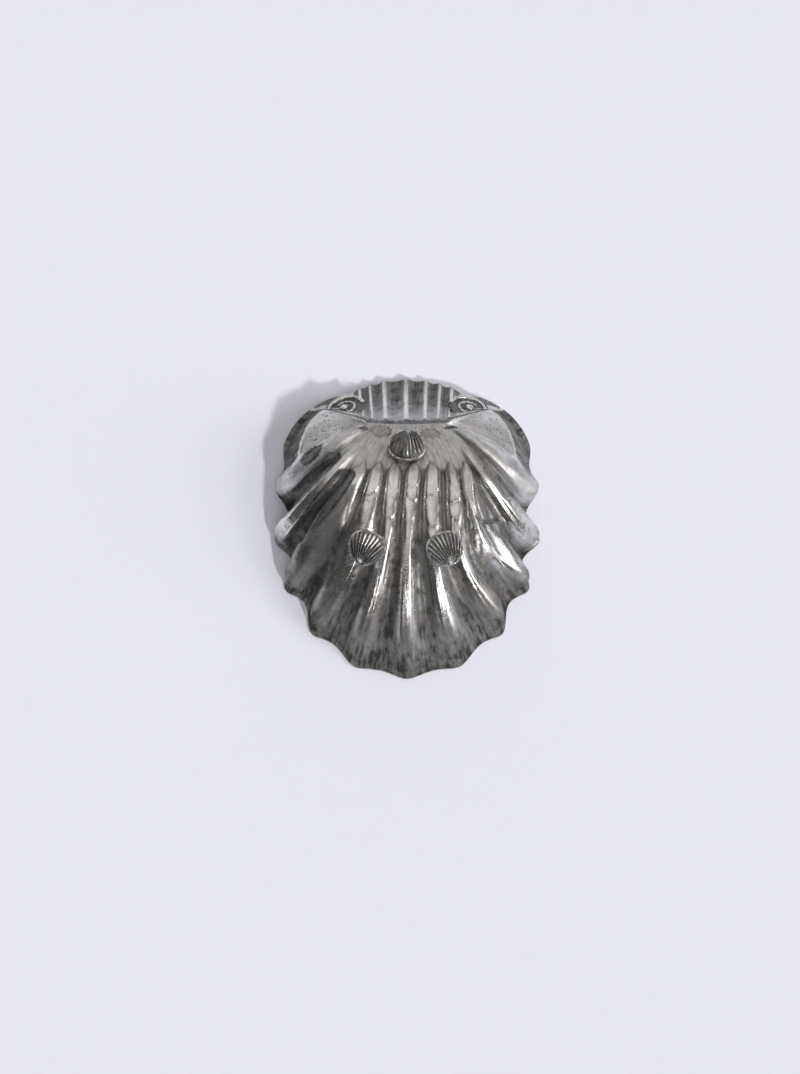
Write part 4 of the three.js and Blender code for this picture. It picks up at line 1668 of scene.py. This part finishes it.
    def steep(self, at: Places) -> Array:
        """Whether a place of a shoulder lies on its steep wall, beyond the crease."""
        plan = at.points[..., :2]
        gentle, steep = SHELL.slopes(at.fan, plan, at.run)
        ragged = 0.8 * wave(plan[..., 0], 1.3) * wave(plan[..., 1], 1.7, 1)
        return smoothstep(gentle - steep + ragged, 0, 2)

    def zones(self, at: Places) -> Zones:
        """Find which part of the bowl each place belongs to."""
        shoulder = smoothstep(at.steps, SHELL.ribs + 0.05, SHELL.ribs + 0.3)
        ribbed = 1 - shoulder
        rim_start = lerp(0.74, 0.86, smoothstep(at.steps, 2, 4))
        rim = smoothstep(at.along, rim_start, 0.96) * ribbed
        neck = smoothstep(at.y, 8, 20) * ribbed * (1 - smoothstep(self.troughs(at), 0.15, 0.7))
        return Zones(shoulder, self.steep(at) * shoulder, rim, neck)

    def darkening(self, at: Places, zones: Zones) -> Array:
        """How dark the dirt and the painted shade are in the parts of the bowl, apart from the
        marks.
        """
        darkening, ribbed = self.dirt_and_shade_shares, 1 - zones.shoulder
        arch, broad = self.broad(at)
        right = smoothstep(at.step, -1.5, 1.5)
        # Grime in the troughs plus painted shade, darker on the +X side, away from the light.
        trough = smoothstep(1 - ridge_section(at.steps, 0.35), 0.35, 0.8) * (1 - broad)
        trough = lerp(*darkening.trough, right) * trough * at.gain
        gap = smoothstep(1 - arch, 0.55, 0.95) * broad * smoothstep(self.lancet_tip - at.y, 1, 6)
        # Painted shade on the -X half of each broad rib, dimming its reflection.
        flank = smoothstep(np.round(at.step) - at.step, -0.06, 0.2)
        shade = darkening.shade * flank * broad * smoothstep(-at.y, -5, 0)
        # worn is painted shade, not wear: it darkens the lower part of the third rib at +X, hiding
        # a reflected highlight.
        worn = between(at.step, (2.5, 2.7), (3.4, 3.6)) * smoothstep(-at.y, -12, -6)
        # The long hollows too: grime plus painted shade, darker on the +X side.
        bean = lerp(*darkening.bean, right) * smoothstep(self.troughs(at), 0.15, 0.7)
        knob = smoothstep(at.steps, 3.4, 4.2) * (1 - smoothstep(at.off, 0.12, 0.3))
        # The steep shoulder walls and the rim band are tarnish plus painted shade that dims their
        # reflection of the table; the knobs stay lighter and the neck is darkened a little.
        hollow = np.maximum.reduce([
            (trough + darkening.gap * gap) * ribbed, shade, darkening.worn * worn, bean,
            darkening.wall * zones.wall, lerp(darkening.rim, darkening.knob, knob) * zones.rim,
            darkening.neck * zones.neck])
        crown = np.exp(-((at.off / 0.09) ** 2)) * at.gain * (1 - broad) * ribbed * (1 - zones.rim)
        return hollow * (1 - darkening.crown_polish * crown)

    def values(self, at: Places) -> dict[str, Array]:
        """Chased and beaten detail, how the surface has aged, and its painted shade.

        Returns:
            Values at each place, by attribute name; detail is in metres.
        """
        darkening, zones = self.dirt_and_shade_shares, self.zones(at)
        height, solder, mark_darkness = self.marks(at.points)
        height = height + self.chasing(at) - self.troughs(at) + self.edges(at)
        edge = smoothstep(at.along, 0, 0.02) * (1 - smoothstep(at.along, 0.97, 1))
        side = 1 - smoothstep(np.abs(at.fan), SHELL.fan_end - 0.1, SHELL.fan_end)
        return {
            "detail": height * MM,
            # hollow holds the dirt and the painted shade, and the marks' darkening.
            "hollow": np.maximum(self.darkening(at, zones), mark_darkness),
            "dull": np.maximum.reduce([
                darkening.dull_shoulder * zones.shoulder, darkening.dull_rim * zones.rim,
                darkening.dull_neck * zones.neck]),
            "pitted": darkening.pitted_shoulder * zones.shoulder * (1 - zones.wall)
            + darkening.pitted_rim * zones.rim,
            "solder": solder,
            "lengthwise": np.stack([at.step * 11, at.run, 0 * at.run], -1) * MM,
            "hammered": edge * side,
            "ridge_step": at.step,
            "ridge_gain": at.gain,
        }

    def skins(self) -> tuple[Skin, Skin]:
        """Outside and inside of the bowl's wall, without its ridges."""
        at = self.places()
        out, values = SHELL.out(at.fan, at.along), self.values(at)
        clean = {
            "detail": softened(values["detail"], self.inside_softness),
            "solder": values["solder"] * 0,
            "hollow": self.dirt_and_shade_shares.inside * (1 - ridge_section(at.step, 0.3)) * at.gain,
            "dull": self.dirt_and_shade_shares.dull_inside + 0 * at.fan,
        }
        inside = Skin(at.points - out * SHELL.wall, out, values | clean)
        return Skin(at.points, out, values), inside.thinned()

    def solid(self, fans: Span, rows: float, low: float, high: float) -> Piece:
        """A block that fills the wall between two heights, to trim a piece with.

        Args:
            fans: Ends of the part of the fan that it covers.
            rows: Share of the bowl's length that it covers.
            low: Height of its inside, in millimetres.
            high: Height of its outside, in millimetres.

        Returns:
            The object.
        """
        across, along = np.linspace(*fans, 161), np.linspace(0, rows, 81)
        fan, along = np.meshgrid(across, along, indexing="ij")
        step = self.ridge_step(fan, along)
        gain = SHELL.rib_height * SHELL.rib_gain(step, along)
        ridge = gain * ridge_section(step, SHELL.rib_round)
        return self.shop.maker.block("bowl_block", SHELL.base(fan, along), SHELL.out(fan, along),
                                     ridge, low, high)

    def build(self) -> Piece:
        """Make the bowl."""
        bowl = self.shop.maker.sheet("ribbed_bowl", *self.skins(), smooth_angle=self.sharp_angle)
        self.shop.ribbing.apply(bowl, self.shop.finishes.material(Finishes.RAISED),
                                SHELL.rib_height, SHELL.rib_round, self.hammering)
        keep_within(bowl, *CAD_BOX)
        self.shop.hand_over(bowl, "shell_bowl", "raised_silver")
        return bowl


@dataclass
class FlutedCrest:
    """The crest behind the neck: seven flutes between two plain wings.

    places are the crowns of its uneven ridges, and steps the whole steps that they stand for.
    """

    shop: Workshop
    flute_facets: int = 24
    wing_facets: int = 30
    rows: int = 60
    hammering: HammerMarks = HammerMarks(0.08, 5.0, 8.0)
    sharp_angle: float = 60
    places: tuple[float, ...] = (-5.3, -3.5, -2.9, -2.15, -1.25, 0.05, 1.5, 2.4, 3.05, 3.5, 5.3)
    steps: tuple[float, ...] = (-5.3, -3.5, -3, -2, -1, 0, 1, 2, 3, 3.5, 5.3)
    fine_flutes: int = 3
    fine_depth: float = 0.14
    trough_dirt_and_shade: Span = (0.72, 0.94)
    foot_dirt: float = 0.95
    brim_dirt_and_shade: float = 0.85
    block_start: float = 0.2

    def grid(self) -> tuple[Array, Array]:
        """Places of the whole grid, across and up."""
        end = CREST.flute_end
        flutes = np.linspace(-end, end, int(2 * end) * self.flute_facets + 1)
        wing = np.linspace(end, CREST.end, self.wing_facets + 1)[1:]
        steps = np.concatenate([-wing[::-1], flutes, wing])
        return np.meshgrid(steps, np.linspace(0, 1, self.rows + 1), indexing="ij")

    def values(self, step: Array, up: Array) -> dict[str, Array]:
        """Ridges, fine flutes, age, and painted shade and highlight of the crest.

        Args:
            step: Places across the flutes.
            up: Shares of the way to the top.

        Returns:
            Values at each place, by attribute name; detail is in metres.
        """
        steps, none = np.abs(step), np.zeros_like(step)
        fluted = 1 - smoothstep(steps, CREST.flute_end - 0.2, CREST.flute_end + 0.1)
        ridge = np.interp(step, self.places, self.steps)
        trough = 1 - ridge_section(ridge, 0.3)
        crown = smoothstep(1 - trough, 0.55, 0.9) * fluted
        fine = np.cos(2 * np.pi * ridge * self.fine_flutes) * fluted
        fine = fine * between(up, (0.05, 0.12), (0.25, 0.6))
        wing = smoothstep(steps, 3.9, 4.5)
        brim = wing * smoothstep(up + 0.25 * wing, 0.75, 0.95)
        # The troughs: tarnish plus painted shade, which leaves the ridges as narrow bright lines.
        darkened = lerp(*self.trough_dirt_and_shade, trough) * smoothstep(trough, 0.03, 0.3) * fluted
        return {
            "detail": self.fine_depth * fine * MM,
            "hollow": np.maximum.reduce([
                # The troughs' darkening thins towards the foot as a painted highlight; the foot
                # along the seam with the bowl is painted shade; the wings' brim is tarnish plus
                # painted shade.
                darkened * lerp(0.6, 1, smoothstep(up, 0.2, 0.6)),
                self.foot_dirt * (1 - smoothstep(up, 0.08, 0.16)), self.brim_dirt_and_shade * brim]),
            "dull": np.maximum(0.5 * (1 - fluted), 0.3 * fluted * (1 - 0.7 * crown)),
            "pitted": 0.25 * (1 - fluted),
            "solder": none,
            "lengthwise": np.stack([ridge * 10, up * 40, none], -1) * MM,
            "hammered": between(up, (0, 0.06), (0.94, 1)),
            "ridge_step": ridge,
            "ridge_gain": CREST.rib_gain(step, up) * (steps < CREST.flute_end),
        }

    def solid(self, low: float, high: float) -> Piece:
        """A block that fills the wall of the wing at +X, to trim a piece with.

        Args:
            low: Height of its inside, in millimetres.
            high: Height of its outside, in millimetres.

        Returns:
            The object.
        """
        step, up = self.grid()
        right = step[:, 0] > self.block_start
        step, up = step[right], up[right]
        step, up = step[1 - step.shape[0] % 2:], up[1 - up.shape[0] % 2:]
        ridge = CREST.ridge_top * CREST.rib_gain(step, up) * ridge_section(step, SHELL.rib_round)
        return self.shop.maker.block("crest_block", CREST.base(step, up), CREST.out(step, up),
                                     ridge, low, high)

    def build(self) -> Piece:
        """Make the crest."""
        step, up = self.grid()
        base, out, values = CREST.base(step, up), CREST.out(step, up), self.values(step, up)
        inner = Skin(base - out * CREST.wall, out, values).thinned()
        crest = self.shop.maker.sheet("fluted_crest", Skin(base, out, values), inner,
                                      smooth_angle=self.sharp_angle)
        self.shop.ribbing.apply(crest, self.shop.finishes.material(Finishes.CREST),
                                CREST.ridge_top, SHELL.rib_round, self.hammering)
        keep_within(crest, *CAD_BOX)
        self.shop.hand_over(crest, "back_crest", "crest_silver")
        return crest


@dataclass
class ScallopFoot:
    """A small cast scallop, dome to the ground, on a plain plinth under the bowl.

    Levels are pairs of how far a ring lies inside the outline and how high it lies, in
    millimetres; those of the tier are measured from its top, after its straight foot.
    """

    shop: Workshop
    bowl: RibbedBowl
    name: str
    fan: float
    along: float
    turn: float
    shift: Span = (0.0, 0.0)
    wear: float = 0.0
    rib_facets: int = 14
    rows: int = 44
    hammering: HammerMarks = HammerMarks(0.12, 3.0, 5.0)
    groove_darkness: float = 0.95
    edge_darkness: float = 0.9
    worn_side_darkness: float = 0.97
    worn_ribs: float = 0.85
    flange_levels: tuple[Span, ...] = (
        (0.3, 0), (0.05, 0.15), (0, 0.4), (0, 0.95), (0.08, 1.15), (0.3, FOOT.flange))
    tier_levels: tuple[Span, ...] = ((0, 1.6), (0.35, 1.2), (0, 0.8), (0, 0.2), (0.25, 0))
    trim_spread: float = 1.6
    trim_rows: float = 0.86
    trim_depth: float = -14

    def frame(self) -> tuple[Matrix, Array, Array]:
        """Frame on the ridges with +Z out of the bowl, the plan place, and that +Z."""
        fan, along = np.array(self.fan), np.array(self.along)
        out = outwards(SHELL.base, fan, along, 0.5, 0.05)
        turn = math.radians(self.turn)
        umbo = square_to(np.array([math.sin(turn), -math.cos(turn), 0.0]), out)
        ridge = SHELL.rib_height * SHELL.rib_gain(fan, along) * ridge_section(fan, SHELL.rib_round)
        place = SHELL.base(fan, along) + SHELL.out(fan, along) * ridge + self.shop.maker.place
        place = place + square_to(np.array([*self.shift, 0.0]), out) * math.hypot(*self.shift)
        return basis(np.cross(out, umbo), -umbo, out, place), place, out

    def values(self, points: Array, out: Array, shown: Array) -> dict[str, Array]:
        """Ribs, age and darker places of the scallop.

        Args:
            points: Points of the dome.
            out: Shares of the way from the umbo to the outline.
            shown: Shares of a rib's height.

        Returns:
            Values at each place, by attribute name.
        """
        angle = np.arctan2(points[..., 0], points[..., 1] + FOOT.length / 2 + FOOT.hinge)
        step = angle / FOOT.rib_angle * FOOT.ribs / 2
        groove, none = 1 - ridge_section(step, FOOT.rib_round), np.zeros_like(step)
        worn = self.wear * smoothstep(points[..., 0], -1.5, 1.5)
        darkened = smoothstep(groove, 0.35, 0.8) * smoothstep(out, 0.05, 0.3) * (1 - worn)
        return {
            "ridge_step": step,
            "ridge_gain": shown * (1 - self.worn_ribs * worn),
            "hammered": shown,
            "detail": none,
            # hollow: the grooves, the edge of the dome and the worn half of the rear foot are
            # darker.
            "hollow": np.maximum.reduce([
                self.groove_darkness * darkened, self.edge_darkness * smoothstep(out, 0.985, 1),
                self.worn_side_darkness * worn]),
            "dull": 0.1 * groove,
            "pitted": none,
            "solder": none,
        }

    def scallop(self) -> Piece:
        """The ribbed dome on its smooth flange, in the foot's own frame."""
        turn = np.linspace(-FOOT.spread, FOOT.spread, FOOT.ribs * self.rib_facets + 1)
        rows = np.sin(np.linspace(0, 1, self.rows + 1) * np.pi / 2)
        direction, out = np.meshgrid(turn, rows, indexing="ij")
        points, shown = FOOT.dome(direction, out)
        values = self.values(points, out, shown)
        top = Skin(points, np.zeros_like(points) - DOWN, values)
        under = points * [1, 1, 0] + [0, 0, FOOT.flange / 2]
        low = Skin(under, np.zeros_like(points), values).thinned()
        piece = self.shop.maker.sheet(f"{self.name}_scallop_foot", top, low, placed=False)
        finish = self.shop.finishes.material(Finishes.CAST)
        self.shop.ribbing.apply(piece, finish, FOOT.rib, FOOT.rib_round, self.hammering)
        rings = np.stack([FOOT.oval(inset, height) for inset, height in self.flange_levels])
        plate = self.shop.maker.lathe("flange", rings)
        plate.data.materials.append(finish)
        boolean(piece, plate, "UNION")
        return piece

    def tier(self, height: float) -> Piece:
        """The plinth's plain block, before it is trimmed to the ridges."""
        top = height - CREST.clearance
        levels = [(0, -FOOT.reach), *((inset, top - below) for inset, below in self.tier_levels)]
        rings = np.stack([FOOT.oval(FOOT.inset + inset, level) for inset, level in levels])
        return self.shop.maker.lathe(f"{self.name}_foot_tier", rings)

    def build(self) -> None:
        """Make the foot's scallop, so that it reaches the ground, and its plinth."""
        stand, place, out = self.frame()
        piece = self.scallop()
        turned = corners(piece) @ np.array(stand.to_3x3()).T
        drop = -turned[:, 2].min() / MM
        height = (drop - FOOT.worn - place[2]) / out[2]
        placed_by(piece, stand @ Matrix.Translation((0, 0, height * MM)))
        keep_within(piece, *CAD_BOX)
        self.shop.hand_over(piece, f"{self.name}_foot_shell", "cast_silver")
        tier = self.tier(height)
        placed_by(tier, stand)
        fans = (self.fan - self.trim_spread, self.fan + self.trim_spread)
        block = self.bowl.solid(fans, self.trim_rows, self.trim_depth, CREST.clearance)
        boolean(tier, block, "DIFFERENCE")
        keep_lowest(tier)
        placed_by(tier, Matrix())
        tier.data.materials.clear()
        tier.data.materials.append(self.shop.finishes.material(Finishes.CAST))
        self.shop.hand_over(tier, f"{self.name}_foot_plinth", "cast_silver")


class SpiralBand:
    """Geometry Nodes tree that winds a scroll's band round its domed eye."""

    sizes = ("Turns", "First Radius", "Last Radius", "Band Width", "Band Height", "Level",
             "Eye Radius", "Leaf Depth", "Leaves", "Widening")

    def __init__(self) -> None:
        """Build the tree."""
        self.tree = shaping_tree("spiral_band", self.sizes)
        self.g = g = Graph(self.tree)
        self.given = given = g.given()
        parts = g.add("GeometryNodeJoinGeometry")
        for part in (self.band(), self.eye()):
            g.link(part, parts.inputs[0])
        lift = g.out("ShaderNodeCombineXYZ", {2: given["Level"]})
        moved = g.out("GeometryNodeTransform", {"Geometry": Signal(g, parts.outputs[0]),
                                                "Translation": lift})
        end_tree(g, moved, given["Material"])

    def band(self) -> Signal:
        """Wind the band, which widens outwards and is notched like a leaf."""
        g, given = self.g, self.given
        spiral = g.out("GeometryNodeCurveSpiral", {
            "Resolution": 72, "Rotations": given["Turns"], "Start Radius": given["Last Radius"],
            "End Radius": given["First Radius"], "Height": 0.0})
        share = g.out("GeometryNodeSplineParameter", output="Factor")
        marked = {"Geometry": spiral, "Name": "wound", "Value": share}
        kept = g.out("GeometryNodeStoreNamedAttribute", marked, data_type="FLOAT", domain="POINT")
        wide = 1.0 + (share - 1.0) * given["Widening"]
        kept = g.out("GeometryNodeSetCurveRadius", {"Curve": kept, "Radius": wide})
        ring = g.out("GeometryNodeCurvePrimitiveCircle", {"Resolution": 20, "Radius": 0.5})
        size = g.out("ShaderNodeCombineXYZ", {0: given["Band Width"], 1: given["Band Height"],
                                              2: 1.0})
        ring = g.out("GeometryNodeTransform", {"Geometry": ring, "Scale": size})
        level = g.out("GeometryNodeSetCurveNormal", {"Curve": kept}, mode="Z_UP")
        band = g.add("GeometryNodeCurveToMesh", {"Curve": level, "Profile Curve": ring,
                                                 "Fill Caps": True})
        if "Scale" in band.inputs:
            g.link(wide, band.inputs["Scale"])
        wound = g.out("GeometryNodeInputNamedAttribute", {"Name": "wound"}, "Attribute",
                      data_type="FLOAT")
        leaf = g.math("SINE", wound * given["Leaves"] * (2 * math.pi)) - 1.0
        normal = g.out("GeometryNodeInputNormal")
        offset = g.vector("SCALE", {0: normal, 3: leaf * given["Leaf Depth"]})
        return g.out("GeometryNodeSetPosition", {"Geometry": Signal(g, band.outputs[0]),
                                                 "Offset": offset})

    def eye(self) -> Signal:
        """Make the flattened ball in the middle."""
        g, given = self.g, self.given
        ball = g.out("GeometryNodeMeshUVSphere", {"Segments": 32, "Rings": 16,
                                                  "Radius": given["Eye Radius"]})
        flatness = given["Band Height"] * 0.5 / given["Eye Radius"]
        size = g.out("ShaderNodeCombineXYZ", {0: 1.0, 1: 1.0, 2: flatness})
        return g.out("GeometryNodeTransform", {"Geometry": ball, "Scale": size})


@dataclass
class Scroll:
    """A flat spiral scroll on a wing of the crest, made at +X and mirrored for -X."""

    shop: Workshop
    bowl: RibbedBowl
    crest: FlutedCrest
    tree: SpiralBand
    wide: float = 26
    tall: float = 24
    turns: float = 1.4
    band: float = 2.7
    rise: float = 2.6
    plate: float = 1.2
    plate_bevel: Span = (0.3, 0.35)
    eye: float = 2.4
    eye_gap: float = 0.3
    seat: float = 4
    leaf_depth: float = 0.16
    leaves: float = 26
    widening: float = 0.35
    darkening: float = 0.95
    darkening_levels: Span = (0.15, 0.9)
    step_past: float = 0.5
    up: float = 0.36
    lean: float = 22
    trim_depth: float = -7
    trim_fans: Span = (1, 0.02)
    sharp_angle: float = 40

    def frame(self) -> Matrix:
        """Frame on the wing with +Z out of it."""
        step, up = np.array(CREST.flute_end + self.step_past), np.array(self.up)
        out = outwards(CREST.base, step, up, CREST.step_nudge, CREST.up_nudge)
        along = CREST.base(step + CREST.step_nudge, up) - CREST.base(step, up)
        along = square_to(along, out)
        place = CREST.base(step, up) + self.shop.maker.place
        leaned = Matrix.Rotation(-math.radians(self.lean), 4, "X")
        return basis(along, np.cross(out, along), out, place) @ leaned

    def flat_scroll(self) -> Piece:
        """The scroll in its own frame: band and eye on an oval plate, darker where it is low."""
        half = self.tall / 2
        finish = self.shop.finishes.material(Finishes.CREST)
        turn = np.linspace(0, 2 * np.pi, 96, endpoint=False)
        around = np.stack([np.cos(turn), np.sin(turn), 0 * turn], -1)
        edge, (inset, below) = half - self.band / 4, self.plate_bevel
        levels = ((edge, -self.seat), (edge, self.plate - below), (edge - inset, self.plate))
        rings = np.stack([around * radius + [0, 0, level] for radius, level in levels])
        values = {"hollow": np.zeros(rings[..., 0].size + 2)}
        plate = self.shop.maker.lathe("scroll_plate", rings, values=values)
        plate.data.materials.append(finish)
        band = self.shop.maker.mesh("scroll_band", np.zeros((1, 3)), [])
        run_tree(band, self.tree.tree, {
            "Turns": self.turns,
            "First Radius": (half - self.band / 2) * MM,
            "Last Radius": (self.eye + self.eye_gap + self.band / 2) * MM,
            "Band Width": self.band * MM,
            "Band Height": 2 * (self.rise - self.plate) * MM,
            "Level": self.plate * MM,
            "Eye Radius": self.eye * MM,
            "Leaf Depth": self.leaf_depth * MM,
            "Leaves": float(self.leaves),
            "Widening": self.widening,
            "Material": finish,
        })
        boolean(plate, band, "UNION")
        low, high = (self.plate + level for level in self.darkening_levels)
        darkened = self.darkening * (1 - smoothstep(corners(plate)[:, 2] / MM, low, high))
        plate.data.attributes["hollow"].data.foreach_set("value", darkened.astype(np.float32))
        placed_by(plate, Matrix.Diagonal((self.wide / self.tall, 1, 1, 1)))
        return plate

    def mirrored(self, piece: Piece, name: str) -> Piece:
        """Make the same piece for the other side.

        Args:
            piece: Finished piece at +X.
            name: Name of its twin.

        Returns:
            The twin, at -X.
        """
        mesh = piece.data.copy()
        mesh.transform(Matrix.Diagonal((-1, 1, 1, 1)))
        mesh.flip_normals()
        mesh.name = name
        twin = bpy.data.objects.new(name, mesh)
        bpy.context.scene.collection.objects.link(twin)
        return twin

    def build(self) -> None:
        """Make both scrolls, trimmed to the wing and the shoulder."""
        piece = self.flat_scroll()
        placed_by(piece, self.frame())
        boolean(piece, self.crest.solid(self.trim_depth, CREST.clearance), "DIFFERENCE")
        back, past = self.trim_fans
        fans = (SHELL.fan_end - back, SHELL.fan_end + past)
        block = self.bowl.solid(fans, 1, self.trim_depth, CREST.clearance)
        boolean(piece, block, "DIFFERENCE")
        keep_lowest(piece)
        mend(piece)
        placed_by(piece, Matrix(), self.sharp_angle)
        piece.name = piece.data.name = "right_scroll"
        twin = self.mirrored(piece, "left_scroll")
        self.shop.hand_over(piece, "scroll_right", "crest_silver")
        self.shop.hand_over(twin, "scroll_left", "crest_silver")


# Stage, light and camera


class Side(Enum):
    """Which side of a plane shows."""

    ABOVE = 1
    BELOW = -1


@dataclass
class Plane:
    """A plain pale plane that shows from one side only and lets every other light pass.

    Its opening, an oval hidden by the dish, lets the hollow mirror the room above.
    """

    name: str
    height: float
    side: Side
    tone: Triple = (0.77, 0.774, 0.85)
    half: float = 9.0
    in_metal: bool = True
    opening: Span | None = None

    def shown(self, g: Graph) -> Signal:
        """Which rays see the plane.

        Args:
            g: Graph of its material.

        Returns:
            1 for rays that do.
        """
        seen = g.out("ShaderNodeLightPath", output="Is Camera Ray")
        if self.in_metal:
            mirrored = g.out("ShaderNodeLightPath", output="Is Glossy Ray")
            seen = g.math("MAXIMUM", seen, mirrored)
        seen = seen * (1.0 - g.out("ShaderNodeNewGeometry", output="Backfacing"))
        if self.opening:
            place = g.out("ShaderNodeTexCoord", output="Object")
            wide, long = self.opening
            oval = g.vector("MULTIPLY", {0: place, 1: (1 / wide / MM, 1 / long / MM, 0)})
            reach = g.vector("LENGTH", {0: oval}, "Value")
            seen = seen * g.math("GREATER_THAN", reach, 1.0)
        return seen

    def material(self) -> Material:
        """Make the plane's material."""
        material = bpy.data.materials.new(self.name)
        g = fresh_graph(material)
        paint = g.out("ShaderNodeBsdfDiffuse", {"Color": (*self.tone, 1)})
        clear = g.out("ShaderNodeBsdfTransparent")
        mixed = g.out("ShaderNodeMixShader", {0: self.shown(g), 1: clear, 2: paint})
        g.add("ShaderNodeOutputMaterial", {"Surface": mixed})
        return material

    def build(self) -> Piece:
        h, z = self.half, self.height
        square = [(-h, -h, z), (h, -h, z), (h, h, z), (-h, h, z)]
        if self.side is Side.BELOW:
            square.reverse()
        mesh = bpy.data.meshes.new(self.name)
        mesh.from_pydata(square, [], [(0, 1, 2, 3)])
        mesh.materials.append(self.material())
        plane = bpy.data.objects.new(self.name, mesh)
        bpy.context.scene.collection.objects.link(plane)
        return plane


@dataclass(frozen=True)
class SoftBox:
    """A soft patch of light in the sky, full within one angle and gone past another."""

    towards: Triple
    gone: float
    full: float
    strength: float


@dataclass(frozen=True)
class Sun:
    """A soft sun: the way its light travels, its strength, and its width in degrees."""

    name: str
    travels: Triple
    strength: float
    width: float


@dataclass
class Studio:
    """Soft light round the dish: the photograph's from below, and a plain one from above."""

    backdrop: Triple = (0.723, 0.730, 0.791)
    light_tone: Triple = (1, 0.99, 0.975)
    ambient: float = 0.07
    boxes: tuple[SoftBox, ...] = (
        SoftBox((0, 0.62, -0.78), 60, 26, 0.66),
        SoftBox((-0.82, -0.22, -0.50), 30, 14, 1.0),
        SoftBox((-0.82, -0.22, -0.50), 16, 8, 6.0),
        SoftBox((-0.12, -0.60, -0.78), 13, 6, 4.4),
        SoftBox((0.66, -0.1, -0.74), 11, 5, 0.9),
        SoftBox((0.1, -0.2, 1.0), 80, 35, 0.9),
    )
    suns: tuple[Sun, ...] = (
        Sun("key_from_below", (0.46, 0.64, 0.6), 1.9, 3.2),
        Sun("key_from_above", (-0.4, 0.5, -0.8), 1.0, 20),
    )

    def world(self) -> None:
        """Make the world: a pale backdrop for the camera, soft boxes for the silver."""
        world = bpy.data.worlds.new("studio")
        bpy.context.scene.world = world
        g = fresh_graph(world)
        way = g.out("ShaderNodeTexCoord", output="Generated")
        total: Signal | float = self.ambient
        for box in self.boxes:
            target = tuple(Vector(box.towards).normalized())
            facing = g.vector("DOT_PRODUCT", {0: way, 1: target}, "Value")
            gone, full = (math.cos(math.radians(angle)) for angle in (box.gone, box.full))
            total = total + g.ramp(facing, gone, full) * box.strength
        studio = g.out("ShaderNodeBackground", {"Color": (*self.light_tone, 1),
                                                "Strength": total})
        backdrop = g.out("ShaderNodeBackground", {"Color": (*self.backdrop, 1)})
        camera = g.out("ShaderNodeLightPath", output="Is Camera Ray")
        mixed = g.out("ShaderNodeMixShader", {0: camera, 1: studio, 2: backdrop})
        g.add("ShaderNodeOutputWorld", {"Surface": mixed})

    def build(self) -> None:
        """Make the world and the lamps, which no mirror shows."""
        self.world()
        for sun in self.suns:
            lamp = bpy.data.lights.new(sun.name, "SUN")
            lamp.energy, lamp.angle = sun.strength, math.radians(sun.width)
            body = bpy.data.objects.new(sun.name, lamp)
            body.rotation_euler = Vector(sun.travels).to_track_quat("-Z", "Y").to_euler()
            body.visible_glossy = False
            bpy.context.scene.collection.objects.link(body)


@dataclass
class PhotoCamera:
    """The photograph's camera, which stands in front of and below the dish."""

    elevation: float = 70
    distance: float = 1200
    frame_height: float = 601.4
    target: Triple = (3.92, -8.84, 40.34)
    sensor: float = 36
    clip: Span = (0.05, 40)

    def build(self) -> Piece:
        """Make the camera."""
        tilt = math.radians(self.elevation)
        back = Vector((0, -math.cos(tilt), -math.sin(tilt)))
        up = Vector((0, math.sin(tilt), -math.cos(tilt)))
        right = up.cross(back)
        data = bpy.data.cameras.new("photo_camera")
        data.sensor_width = self.sensor
        data.lens = self.sensor * self.distance / self.frame_height
        data.clip_start, data.clip_end = self.clip
        camera = bpy.data.objects.new("photo_camera", data)
        place = (Vector(self.target) + back * self.distance) * MM
        turn = Matrix((right, up, back)).transposed().to_4x4()
        camera.matrix_world = Matrix.Translation(place) @ turn
        bpy.context.scene.collection.objects.link(camera)
        bpy.context.scene.camera = camera
        return camera


def main() -> None:
    """Build the dish, its stage, its light and the camera."""
    logging.basicConfig(level=logging.INFO, format="%(message)s")
    bpy.context.scene.view_settings.view_transform = "Standard"
    shop = Workshop(MeshMaker(), Ribbing(), FinishShop())
    PhotoCamera().build()
    bowl, crest = RibbedBowl(shop), FlutedCrest(shop)
    bowl.build()
    crest.build()
    Scroll(shop, bowl, crest, SpiralBand()).build()
    ScallopFoot(shop, bowl, "front_right", fan=1.1, along=0.59, turn=24, shift=(0.0, 2.0)).build()
    ScallopFoot(shop, bowl, "front_left", fan=-1.1, along=0.59, turn=-24, shift=(1.5, 1.3)).build()
    ScallopFoot(shop, bowl, "rear", fan=0, along=0.11, turn=180, wear=1).build()
    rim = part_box("shell_bowl")[1][2]
    Plane("table_face_down", rim + TABLE_GAP * MM, Side.BELOW, opening=HIDDEN_OVAL).build()
    Plane("floor", 0.0, Side.ABOVE, in_metal=False).build()
    Studio().build()


if __name__ == "__main__":
    main()
